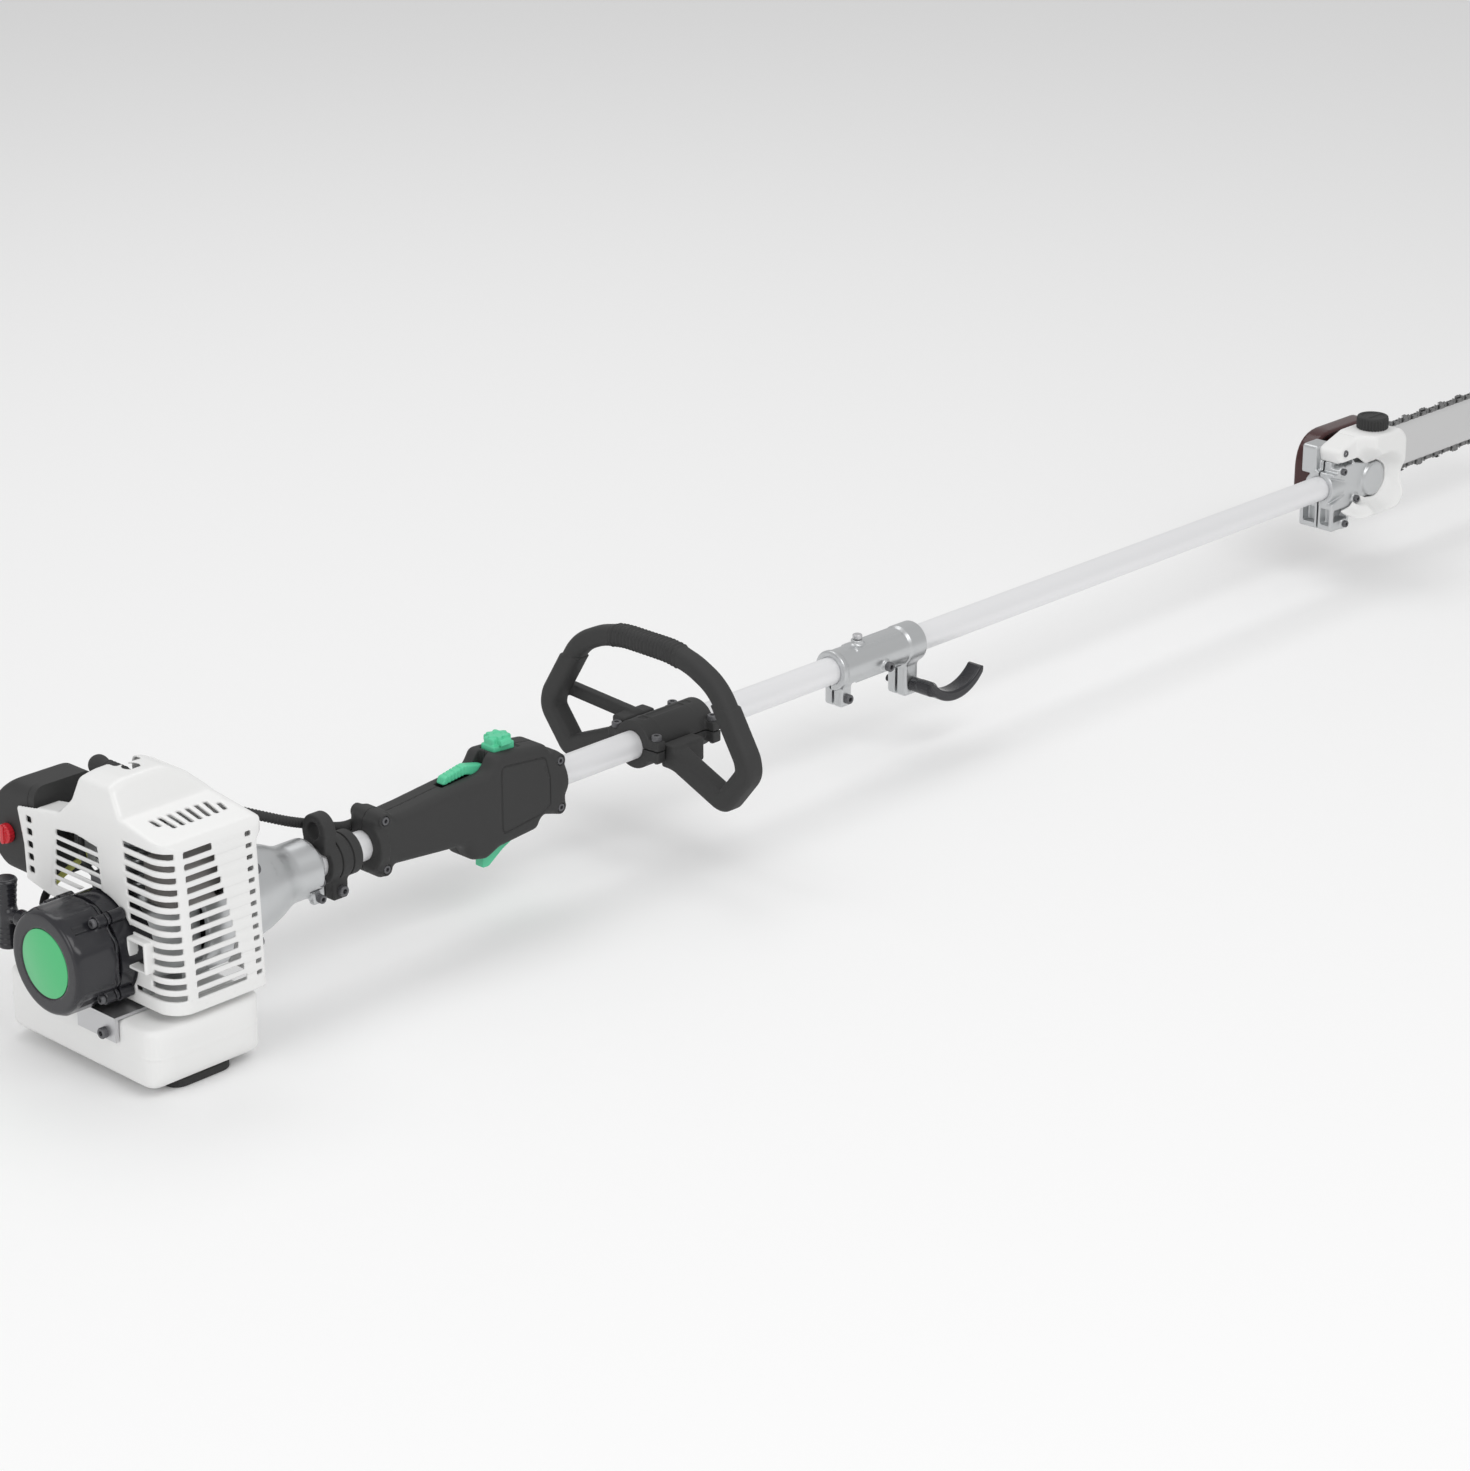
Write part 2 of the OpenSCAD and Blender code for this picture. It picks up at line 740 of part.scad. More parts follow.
module starter_housing() {
  color("#141414") on_axis() difference() {
    union() {
      from_rear(starter_x0 + 5, starter_x1) starter_outline(starter_r - 2);
      cone_x(starter_x0, starter_x0 + 5, starter_r - 6, starter_r - 1);
      rod_y(rope_x, 36, 51, 8, rope_z);
      for (a = starter_screw_angles)
        rotate([a, 0, 0]) rod_x(starter_x1 - 14, starter_x1 - boss_gap, 6, 0, boss_place);
    }
    rod_x(starter_x0 + 3, starter_x1 + 1, starter_r - 6);
    rod_y(rope_x, 30, 52, rope_r + 0.5, rope_z);
    rod_x(starter_x0 - 1, starter_x0 + 1, badge_r);
    for (a = starter_screw_angles)
      rotate([a, 0, 0]) rod_x(starter_x1 - 20, starter_x1 + 1, 2.1, 0, boss_place);
    for (a = starter_screw_angles)
      rotate([a, 0, 0]) rod_x(starter_x1 - 26, starter_x1 - 14, 4.5, 0, boss_place);
  }
  color("#141414") on_axis() rod_x(starter_x0 + 2.5, reel_x1 + 6, 5);
}
badge_r = 31;

module starter_badge() {
  color("mediumseagreen") on_axis() rod_x(starter_x0 + 0.2, starter_x0 + 1, badge_r - 0.3);
}

module starter_reel() {
  color("#2c2c2c") on_axis() difference() {
    union() {
      rod_x(reel_x0, reel_x0 + 2.5, reel_r);
      rod_x(reel_x1 - 2.5, reel_x1, reel_r);
      rod_x(reel_x0, reel_x1, rope_z - rope_r - 0.5);
      rod_x(reel_x1 - 1, reel_x1 + 4, 9);
    }
    rod_x(reel_x0 - 1, reel_x1 + 5, 5 + run_gap);
  }
}

// Flat spiral ribbon between two radii
module recoil_spring() {
  turns = 4;
  steps = 96;
  outer = [for (i = [0:steps]) let (r = 9 + i / steps * 22, a = 360 * turns * i / steps)
    [r * cos(a), r * sin(a)]];
  inner = [for (i = [steps:-1:0]) let (r = 8.2 + i / steps * 22, a = 360 * turns * i / steps)
    [r * cos(a), r * sin(a)]];
  color("steelblue") on_axis() from_rear(starter_x0 + 3.2, reel_x0 - 0.4) polygon(concat(outer, inner));
}

module starter_rope() {
  color("whitesmoke") on_axis() {
    difference() {
      rod_x(rope_x - 3, rope_x + 3, rope_z + rope_r);
      rod_x(rope_x - 4, rope_x + 4, rope_z - rope_r);
    }
    rod_y(rope_x, 0, grip_y - 12, rope_r, rope_z);
  }
}

module starter_grip() {
  color("#101010") on_axis() difference() {
    union() {
      rod_z(rope_x, grip_y, rope_z - 27, rope_z + 29, 9);
      rod_z(rope_x, grip_y, rope_z - 31, rope_z - 26, 10.5);
      rod_z(rope_x, grip_y, rope_z + 26, rope_z + 32, 11);
      rod_y(rope_x, grip_y - 16, grip_y, 7, rope_z);
    }
    rod_y(rope_x, grip_y - 17, grip_y - 11, rope_r + 0.5, rope_z);
  }
}

// ---- shaft, hanger and conduit -------------------------------------------------------------

module rear_tube() {
  color("whitesmoke") on_axis() tube_x(rear_tube_x0, rear_tube_x1, tube_r, tube_ir);
}

module rear_drive_shaft() {
  color("gray") on_axis() rod_x(86, rear_tube_x1 - 6, drive_r);
}

module hanger_clamp() {
  color("#181818") on_axis() difference() {
    union() {
      rod_x(hanger_x - 2, hanger_x + 34, tube_r + 7);
      span([hanger_x - 6, -15.5, 12], [hanger_x + 8, 15.5, 31]);
      rod_x(hanger_x - 6, hanger_x + 8, 15.5, 0, 31);
      span([hanger_x + 4, -13, -37], [hanger_x + 22, 13, -14]);
    }
    rod_x(hanger_x - 12, hanger_x + 40, tube_r);
    rod_x(hanger_x - 12, hanger_x + 10, eye_d / 2, 0, 31);
    span([hanger_x - 12, -1.5, -40], [hanger_x + 40, 1.5, -10]);
    rod_y(hanger_x + 13, -20, 20, 2.6, -28);
    rod_x(hanger_x + 6, hanger_x + 9, tube_r + 8.5, 0, 60);
  }
}

module throttle_conduit() {
  color("#202020") on_axis() lead(conduit_route, 5, 4, 12);
}

// ---- controls handle -----------------------------------------------------------------------

trigger_x = 445;
trigger_z = -27;
lever_x = 394;
lever_z = 29;
switch_x = 418;

module handle_profile() {
  polygon([[grip_x0, -20], [grip_x0 + 6, 32], [grip_x0 + 20, 32], [grip_x0 + 26, 24], [346, 31], [392, 35],
    [398, 49], [462, 41], [471, 28], [grip_x1 - 8, 26], [grip_x1, 20], [grip_x1, -30], [grip_x1 - 12, -32],
    [456, -26], [449, -38], [401, -42], [385, -49], [369, -46], [359, -29], [300, -24], [grip_x0 + 24, -22],
    [grip_x0 + 18, -28], [grip_x0 + 6, -28]]);
}

module handle_half(s) {
  y0 = s > 0 ? 0.1 : -24;
  y1 = s > 0 ? 24 : -0.1;
  difference() {
    union() {
      intersection() {
        from_side(y0, y1) handle_profile();
        from_rear(grip_x0, grip_x1) round_rect(-22, -60, 22, 60, 12);
      }
      rod_x(grip_x0 + 2, grip_x0 + 14, 26 , 0, 0);
    }
    span([grip_x0 - 1, s > 0 ? -60 : -0.1, -80], [grip_x1 + 1, s > 0 ? 0.1 : 60, 80]);
    rod_x(grip_x0 - 1, grip_x1 + 1, tube_r);
    span([378, -trigger_w / 2 - 0.5, -80], [456, trigger_w / 2 + 0.5, -tube_r]);
    span([343, -5.5, tube_r], [401, 5.5, 60]);
    span([switch_x - 14, -9.5, 44], [switch_x + 20, 9.5, 60]);
    rod_x(grip_x0 - 1, grip_x0 + 16, 5.4, 19, 14);
    rod_y(trigger_x, -30, 30, pivot_d / 2, trigger_z);
    rod_y(lever_x, -30, 30, pivot_d / 2, lever_z);
    for (p = handle_screws)
      rod_y(p[0], -30, 30, 2.1, p[1]);
    for (p = handle_screws)
      rod_y(p[0], -30, -17, 4.2, p[1]);
  }
}
handle_screws = [[262, -21], [262, 26], [478, 22], [478, -25]];

module handle_left() {
  color("#1b1b1d") on_axis() handle_half(1);
}

module handle_right() {
  color("#1b1b1d") on_axis() handle_half(-1);
}

module trigger() {
  r = pivot_d / 2;
  color("mediumaquamarine") on_axis() difference() {
    union() {
      from_side(-trigger_w / 2, trigger_w / 2) polygon([[trigger_x + 5, trigger_z - 4], [trigger_x - 1, trigger_z + 5],
        [trigger_x - 20, trigger_z + 4], [trigger_x - 40, trigger_z - 1], [trigger_x - trigger_len, trigger_z - 6.5], [trigger_x - trigger_len - 2, trigger_z - 38],
        [trigger_x - trigger_len + 6, trigger_z - 38], [trigger_x - 28, trigger_z - 26], [trigger_x - 2, trigger_z - 14]]);
      rod_y(trigger_x, -trigger_w / 2, trigger_w / 2, r + 3, trigger_z);
    }
    rod_y(trigger_x, -trigger_w, trigger_w, r + run_gap, trigger_z);
  }
}

module safety_lever() {
  r = pivot_d / 2;
  color("mediumaquamarine") on_axis() difference() {
    union() {
      from_side(-5, 5) polygon([[lever_x + 4, lever_z - 2], [lever_x + 4, lever_z + 8], [lever_x - 20, lever_z + 14],
        [lever_x - 46, lever_z + 9], [lever_x - 49, lever_z + 2], [lever_x - 44, lever_z + 2], [lever_x - 20, lever_z + 5]]);
      rod_y(lever_x, -5, 5, r + 2.5, lever_z);
    }
    rod_y(lever_x, -10, 10, r + run_gap, lever_z);
  }
}

module stop_switch() {
  color("mediumaquamarine") on_axis() {
    span([switch_x - 13, -9, 45], [switch_x + 13, 9, 53]);
    span([switch_x - 6, -13, 53], [switch_x + 6, 13, 59]);
    for (a = [0:60:300])
      translate([switch_x, 0, 53]) rotate([0, 0, a]) translate([0, -3, 0]) cube([13, 6, 8]);
  }
}

// ---- loop handle ---------------------------------------------------------------------------

// Centre line of one side of the loop, in (Y, Z) from the clamp to the top
loop_points = [[38, -8], [98, -33], [loop_half_w - 30, -34], [loop_half_w - 3, 0], [loop_half_w - 6, 14],
  [loop_half_w - 44, 76], [62, loop_top - 8], [34, loop_top - 1], [0, loop_top]];

whole_loop = concat(loop_points, [for (i = [len(loop_points) - 2:-1:0]) [-loop_points[i][0], loop_points[i][1]]]);

// Band of constant width along a line of points
module band(points, r) {
  for (i = [0:len(points) - 2]) {
    d = points[i + 1] - points[i];
    translate(points[i]) rotate(atan2(d[1], d[0])) translate([0, -r]) square([norm(d), 2 * r]);
    translate(points[i + 1]) circle(r = r + 0.02);
  }
}

module loop_handle() {
  r = loop_d / 2;
  color("#161616") on_axis() difference() {
    union() {
      from_rear(loop_x - r, loop_x + r) band(whole_loop, r);
      from_rear(loop_x + r - 4, loop_x + r + 8) band([[loop_half_w - 16, 18], [32, 12]], 6.5);
      span([606, 24.5, -20], [648, 42, 16]);
      span([606, -42, -20], [648, -24.5, 4]);
    }
    rod_x(loop_x - 30, loop_x + 70, 24.4);
  }
}

clamp_x0 = 592;
clamp_x1 = 681;
clamp_lugs = [598, 674];
clamp_screws = [for (x = clamp_lugs, y = [27, -27]) [x, y]];

module loop_clamp_base() {
  color("#161616") on_axis() difference() {
    union() {
      rod_x(clamp_x0, clamp_x1, 24);
      for (x = clamp_lugs)
        span([x - 5.5, -34, -12], [x + 5.5, 34, -0.5]);
    }
    span([clamp_x0 - 1, -50, -0.5], [clamp_x1 + 1, 50, 50]);
    rod_x(clamp_x0 - 1, clamp_x1 + 1, tube_r);
    for (p = clamp_screws)
      rod_z(p[0], p[1], -30, 10, 2.6);
  }
}

module loop_clamp_cap() {
  color("#161616") on_axis() difference() {
    union() {
      rod_x(clamp_x0, clamp_x1, 24);
      for (x = clamp_lugs)
        span([x - 5.5, -34, 0.5], [x + 5.5, 34, 10]);
    }
    span([clamp_x0 - 1, -50, -50], [clamp_x1 + 1, 50, 0.5]);
    rod_x(clamp_x0 - 1, clamp_x1 + 1, tube_r);
    for (p = clamp_screws)
      rod_z(p[0], p[1], -30, 20, 2.6);
  }
}

// ---- coupler -------------------------------------------------------------------------------

pin_x = coupler_x0 + 40;
knob_z = -42;
ear_x = coupler_x0 + 12;
ear_z = -30;
side_bolt_x = coupler_x0 + 62;

module coupler_body() {
  color("darkgray") on_axis() difference() {
    union() {
      rod_x(coupler_x0, coupler_x1, coupler_r);
      rod_x(coupler_x1 - 24, coupler_x1, coupler_r + 2);
      span([ear_x - 8, -12, ear_z - 9], [ear_x + 8, 12, -12]);
      span([knob_x - 10, -13, knob_z - 11], [knob_x + 10, 13, -12]);
      rod_z(pin_x, 0, 10, coupler_r + 4, 7);
      rod_y(side_bolt_x, -coupler_r - 3, 0, 6, -6);
    }
    rod_x(coupler_x0 - 1, coupler_x1 + 1, tube_r + run_gap / 2);
    span([coupler_x0 - 1, -1.25, knob_z - 20], [ear_x + 12, 1.25, 0]);
    span([knob_x - 20, -1.25, knob_z - 20], [coupler_x1 + 1, 1.25, 0]);
    rod_y(ear_x, -20, 20, 2.6, ear_z);
    rod_y(knob_x, -20, 20, 4 + run_gap, knob_z);
    rod_y(side_bolt_x, -40, 0, 2.6, -6);
    rod_z(pin_x, 0, 0, coupler_r + 6, 3 + run_gap);
  }
}

module coupler_knob() {
  y0 = -44;
  y1 = -29;
  color("#161616") on_axis() {
    rod_y(knob_x, y0, -13.4, 9, knob_z);
    rod_y(knob_x, -13.5, 20, 4, knob_z);
    difference() {
      intersection() {
        rod_y(knob_x + 36, y0, y1, 52, -8);
        span([knob_x - 6, y0 - 1, -64], [knob_x + 74, y1 + 1, -33]);
      }
      rod_y(knob_x + 36, y0 - 1, y1 + 1, 48, -1);
    }
  }
}

module locating_pin() {
  color("silver") on_axis() {
    rod_z(pin_x, 0, tube_ir - 1, coupler_r + 4.5, 3);
    rod_z(pin_x, 0, coupler_r + 4.3, coupler_r + 9, 5);
  }
}

module rear_screws() {
  color("#161616") on_axis() {
    for (a = starter_screw_angles)
      rotate([a, 0, 0]) rod_x(starter_x1 - 14, starter_x1 + 10, 2, 0, boss_place);
    for (a = starter_screw_angles)
      rotate([a, 0, 0]) rod_x(starter_x1 - 18, starter_x1 - 14.05, 4, 0, boss_place);
    cap_screw_x(-66, -32, -64, 3.4);
    for (z = [-8, -24])
      cap_screw_y(183, -20, z, 7, 2);
    cap_screw_y(hanger_x + 13, -13, -28, 28);
    for (p = handle_screws)
      rod_y(p[0], -21, 20, 2, p[1]);
    for (p = handle_screws)
      rod_y(p[0], -21, -17.05, 4, p[1]);
    rod_y(trigger_x, -19, 19, pivot_d / 2 - 0.05, trigger_z);
    rod_y(lever_x, -19, 19, pivot_d / 2 - 0.05, lever_z);
    for (p = clamp_screws)
      cap_screw_z(p[0], p[1], 10, 24);
    cap_screw_y(ear_x, -12, ear_z, 28);
    cap_screw_y(side_bolt_x, -coupler_r - 3, -6, 7);
    for (y = [-1, 1], z = [-1, 1]) {
      rod_x(27, case_screw_x + 1, 2.5, y * case_screw, z * case_screw);
      rod_x(case_screw_x, case_screw_x + 6, 5, y * case_screw, z * case_screw);
    }
  }
}

// ---- saw head ------------------------------------------------------------------------------

module front_tube() {
  color("whitesmoke") on_axis() difference() {
    tube_x(front_tube_x0, front_tube_x1, tube_r, tube_ir);
    span([front_tube_x0 - 1, -3.6, 0], [pin_x + 3.6, 3.6, 20]);
  }
}

// Bevel pair: the pitch cones share their apex on the shaft axis at head_x
bevel_pitch = 10;
bevel_gear_pitch = bevel_pitch * gear_teeth / pinion_teeth;
bevel_gap = 0.45;
head_in_x = head_x - bevel_gear_pitch;

module front_drive_shaft() {
  color("gray") on_axis() difference() {
    union() {
      rod_x(rear_tube_x1 - 2, head_in_x - 12, drive_r);
      rod_x(rear_tube_x1 - 14, rear_tube_x1 + 2, 8);
      rod_x(head_in_x - 34, head_in_x, 5 - run_gap);
      rod_x(head_in_x - 4, head_in_x, 8);
      cone_x(head_in_x - eps, head_in_x + bevel_gear_pitch * 0.45, bevel_pitch - bevel_gap,
        (bevel_pitch - bevel_gap) * 0.55);
    }
    rod_x(rear_tube_x1 - 15, rear_tube_x1 - 4, drive_r + run_gap);
    for (i = [0:pinion_teeth - 1])
      rotate([i * 360 / pinion_teeth, 0, 0]) span([head_in_x - 1, -0.7, bevel_pitch - 1.8],
        [head_in_x + 3, 0.7, bevel_pitch + 2]);
  }
}

module front_bearings() {
  color("lightsteelblue") on_axis() {
    for (x = [front_tube_x0 + 110:200:front_tube_x1 - 80])
      ball_bearing(x, x + 18, tube_ir, drive_r + run_gap);
    ball_bearing(head_in_x - 22, head_in_x - 13, 11, 5);
    difference() {
      rod_y(head_x, 15, 24, 14);
      rod_y(head_x, 14, 25, 6);
    }
    difference() {
      rod_y(head_x, -20, -14, 9);
      rod_y(head_x, -21, -13, 4);
    }
  }
}

case_r = 20.5;
head_screw_places = [[-60, 43], [-60, 21], [-32, -17], [-52, -43]];

module gear_case() {
  color("darkgray") on_axis() difference() {
    union() {
      rod_x(head_x - 76, head_x - 30, tube_r + 6);
      rod_y(head_x, -24, 27, case_r);
      rod_x(head_x - 36, head_x, 18);
      from_side(-20, 25) polygon([[head_x - 76, 16], [head_x - 76, 49], [head_x - 48, 49], [head_x - 36, 27],
        [head_x - 4, 20], [head_x - 4, -20], [head_x - 36, -24], [head_x - 44, -49], [head_x - 76, -49],
        [head_x - 76, -16], [head_x - 50, -8], [head_x - 50, 8]]);
      span([head_x - 10, 22, -24], [head_x + 66, 27, 24]);
    }
    rod_x(head_x - 80, front_tube_x1 + eps, tube_r);
    rod_x(head_x - 42, head_x, 11);
    rod_y(head_x, -13, 24, 14);
    rod_y(head_x, -20, 0, 9);
    rod_y(head_x, 20, 28, 10);
    span([head_x - 80, -1, 0], [head_x - 42, 1, 60]);
    span([head_x - 80, -1, -60], [head_x - 42, 1, 0]);
    for (p = head_screw_places)
      rod_y(head_x + p[0], -30, 30, 2.1, p[1]);
    for (x = [34, 52])
      rod_y(head_x + x, 20, 30, 3.1);
  }
}

module bevel_gear() {
  g = bevel_gear_pitch - bevel_gap;
  color("dimgray") on_axis() difference() {
    union() {
      translate([head_x, bevel_pitch, 0]) rotate([90, 0, 0])
        cylinder(h = bevel_pitch * 0.45, r1 = g, r2 = g * 0.55);
      rod_y(head_x, bevel_pitch - eps, 14, 12.5);
      rod_y(head_x, -19.5, bevel_pitch, 4 - run_gap);
      rod_y(head_x, 13, 42, 6 - run_gap);
      rod_y(head_x, 28, 38, sprocket_r - 1.5);
      for (i = [0:6])
        rotate_in_side(head_x, i * 360 / 7) span([head_x - 2.4, 30.5, sprocket_r - 3],
          [head_x + 2.4, 35.5, sprocket_r + 1]);
    }
    for (i = [0:gear_teeth - 1])
      rotate_in_side(head_x, i * 360 / gear_teeth) span([head_x - 0.8, bevel_pitch - 2.5, g - 1.5],
        [head_x + 0.8, bevel_pitch - 0.5, g + 2]);
  }
}

// Turns its children about a line along Y through x on the shaft axis
module rotate_in_side(x, a) {
  translate([x, 0, 0]) rotate([0, a, 0]) translate([-x, 0, 0]) children();
}

oil_cap_x = head_x - 2;
oil_cap_y = -18;
oil_x0 = head_x - 76;
oil_x1 = head_x + 34;
oil_low = -36;
oil_high = 60;

module oil_outline(inset) {
  a = inset;
  intersection() {
    from_side(-44 + a, 8 - a) polygon([[oil_x0 + 18 + a, oil_low + 8 + a], [oil_x0 + 30 + a, oil_low + a],
      [oil_x1 - 12 - a, oil_low + a], [oil_x1 - a, oil_low + 12 + a], [oil_x1 - a, oil_high - 12 - a],
      [oil_x1 - 12 - a, oil_high - a], [oil_x0 + 46 + a, oil_high - a], [oil_x0 + 6 + a, 46 - a], [oil_x0 + 12 + a, 29 + a]]);
    translate([0, 0, -60]) linear_extrude(height = 160)
      round_rect(oil_x0 + a, -44 + a, oil_x1 - a, 8 + 20, 12 - a);
  }
}

module oil_recess(gap) {
  rod_y(head_x, -24 - gap, 30, case_r + gap);
  span([oil_x0 - 10, -20 - gap, -30 - gap], [head_x, 30, 30 + gap]);
  span([oil_x0 - 10, -20 - gap, -60], [head_x - 36, 30, 60]);
  rod_x(head_x - 80, head_x - 28, tube_r + 6 + gap);
  for (p = head_screw_places)
    rod_y(head_x + p[0], -50, 30, 5.4 + gap, p[1]);
}

module oil_tank() {
  neck_r = oil_cap_d / 2 - 4;
  color("ivory") on_axis() difference() {
    union() {
      difference() {
        oil_outline(0);
        oil_recess(0.3);
      }
      rod_z(oil_cap_x, oil_cap_y, oil_high - 4, oil_high + 7, neck_r);
    }
    difference() {
      oil_outline(tank_wall);
      oil_recess(0.3 + tank_wall);
    }
    rod_z(oil_cap_x, oil_cap_y, oil_high - 8, oil_high + 8, neck_r - 3);
  }
}

module oil_cap() {
  r = oil_cap_d / 2;
  color("#181818") on_axis() difference() {
    union() {
      rod_z(oil_cap_x, oil_cap_y, oil_high + 0.4, oil_high + 15, r - 1);
      for (i = [0:17])
        rotate_about(oil_cap_x, oil_cap_y, i * 20)
          rod_z(oil_cap_x + r - 1, oil_cap_y, oil_high + 0.4, oil_high + 13, 1);
    }
    rod_z(oil_cap_x, oil_cap_y, oil_high, oil_high + 9, r - 4 + run_gap);
  }
}

module bar_cover() {
  color("#1a1214") on_axis() difference() {
    from_side(28, 52) round_rect(head_x - 54, -46, head_x + 66, 50, 20);
    from_side(27, 49) round_rect(head_x - 51, -43, head_x + 70, 47, 17);
    for (x = [34, 52])
      rod_y(head_x + x, 20, 60, 3.1);
    span([head_x + 40, 27, -39], [head_x + 80, 40, 39]);
  }
}

module bar_shape(inset) {
  r = bar_h / 2 - inset;
  nose_x = bar_x1 - bar_h / 2;
  translate([nose_x, 0]) circle(r = r);
  polygon([[bar_x0 + inset, -17 + inset], [bar_x0 + 40, -r], [nose_x, -r], [nose_x, r], [bar_x0 + 40, r],
    [bar_x0 + inset, 17 - inset]]);
}

module guide_bar() {
  color("gainsboro") on_axis() difference() {
    from_side(bar_y - bar_t / 2, bar_y + bar_t / 2) bar_shape(0);
    for (x = [34, 52])
      rod_y(head_x + x, bar_y - 10, bar_y + 10, 3.6);
    span([head_x + 34, bar_y - 10, -3.6], [head_x + 52, bar_y + 10, 3.6]);
  }
}

chain_h = 7.5;
chain_pitch = 9.5;

// Outline of the chain's loop: round the sprocket, along the bar and round its nose
module chain_loop(grow) {
  nose_x = bar_x1 - bar_h / 2;
  hull() {
    translate([head_x, 0]) circle(r = sprocket_r + 1.5 + grow, $fn = 32);
    translate([bar_x0 + 40, 0]) circle(r = bar_h / 2 + 0.4 + grow, $fn = 96);
  }
  translate([bar_x0 + 40, -bar_h / 2 - 0.4 - grow]) square([nose_x - bar_x0 - 40, bar_h + 0.8 + 2 * grow]);
  translate([nose_x, 0]) circle(r = bar_h / 2 + 0.4 + grow, $fn = 96);
}

module saw_chain() {
  cutters = floor((bar_x1 - bar_h - bar_x0 - 40) / (2 * chain_pitch));
  color("#4a4a4a") on_axis() union() {
    difference() {
      from_side(bar_y - 3, bar_y + 3) chain_loop(chain_h - 2.5);
      from_side(bar_y - 4, bar_y + 4) chain_loop(0);
    }
    for (i = [0:cutters], s = [-1, 1])
      translate([bar_x0 + 48 + i * 2 * chain_pitch, bar_y - 3.2, s * (bar_h / 2 + chain_h / 2 + 1.2) - 2])
        cube([10, 6.4, 4]);
  }
}

module head_screws() {
  color("#161616") on_axis() {
    for (p = head_screw_places)
      cap_screw_y(head_x + p[0], -20, p[1], 44, 2);
    for (x = [34, 52])
      rod_y(head_x + x, 22, 58, 3);
    for (x = [34, 52])
      translate([head_x + x, 52.05, 0]) rotate([-90, 0, 0]) difference() {
        cylinder(h = 6, r = 7, $fn = 6);
        translate([0, 0, -1]) cylinder(h = 8, r = 3);
      }
  }
}

// ---- nodes ---------------------------------------------------------------------------------

crankcase();
fan_housing();
cylinder_block();  // cylinder
piston_and_rod();
crankshaft();
flywheel();
clutch_shoes();
clutch_drum();
clutch_housing();
rear_bearings();
ignition_coil();
ht_lead();
spark_plug();
plug_boot();
muffler();
carburettor();
primer_bulb();
air_filter_base();
air_filter_foam();
air_filter_cover();
choke_knob();
engine_cover();
fuel_tank();
fuel_cap();
fuel_line();
stand_foot();
mount_bracket();
starter_housing();
starter_badge();
starter_reel();
recoil_spring();
starter_rope();
starter_grip();
rear_tube();
rear_drive_shaft();
hanger_clamp();
throttle_conduit();
handle_left();
handle_right();
trigger();
safety_lever();
stop_switch();
loop_handle();
loop_clamp_base();
loop_clamp_cap();
coupler_body();
coupler_knob();
locating_pin();
rear_screws();
front_tube();
front_drive_shaft();
front_bearings();
gear_case();
bevel_gear();
oil_tank();
oil_cap();
bar_cover();
guide_bar();
saw_chain();
head_screws();
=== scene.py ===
import json
import math

import bpy
import numpy as np
import openvdb
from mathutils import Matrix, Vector


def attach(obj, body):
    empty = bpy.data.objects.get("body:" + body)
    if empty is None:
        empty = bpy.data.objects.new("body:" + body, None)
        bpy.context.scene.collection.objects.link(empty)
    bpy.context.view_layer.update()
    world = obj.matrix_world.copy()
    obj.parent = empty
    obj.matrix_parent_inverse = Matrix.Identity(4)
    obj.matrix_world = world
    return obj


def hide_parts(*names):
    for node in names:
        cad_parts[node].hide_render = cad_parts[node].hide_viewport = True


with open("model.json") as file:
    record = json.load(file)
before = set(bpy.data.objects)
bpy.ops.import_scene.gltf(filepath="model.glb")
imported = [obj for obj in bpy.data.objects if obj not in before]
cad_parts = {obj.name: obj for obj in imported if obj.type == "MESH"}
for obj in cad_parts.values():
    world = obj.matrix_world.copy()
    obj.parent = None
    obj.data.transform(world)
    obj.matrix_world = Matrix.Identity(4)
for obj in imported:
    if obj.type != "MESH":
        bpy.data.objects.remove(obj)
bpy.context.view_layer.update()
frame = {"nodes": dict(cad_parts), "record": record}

# Lengths below are millimetres measured from the shaft's axis, which runs along X at this height.
AXIS = 115.0
TUBE_R = 14.0
HEAD_X = 1776
# A direction, and the two directions across it
AXES = {
    "x": ((1, 0, 0), (0, 1, 0), (0, 0, 1)),
    "y": ((0, 1, 0), (0, 0, 1), (1, 0, 0)),
    "-y": ((0, -1, 0), (1, 0, 0), (0, 0, 1)),
    "z": ((0, 0, 1), (1, 0, 0), (0, 1, 0)),
}
# Screws: (Y, Z) on the clutch casting and round the starter, (X, Z) on the controls handle and the saw head
CASE_SCREWS = [(-34, -34), (-34, 34), (34, -34), (34, 34)]
STARTER_SCREWS = [(-48 * math.sin(math.radians(a)), 48 * math.cos(math.radians(a))) for a in (40, 130, 220,
        310)]
HANDLE_SCREWS = [(262, -21), (262, 26), (478, 22), (478, -25)]
HEAD_BOSSES = [(HEAD_X - 60, 21), (HEAD_X - 32, -17), (HEAD_X - 52, -43)]
# X of the loop clamp's lugs, and of the two studs that hold the guide bar
CLAMP_LUGS = (598, 674)
STUDS = (HEAD_X + 34, HEAD_X + 52)


# ---- materials -----------------------------------------------------------------------------

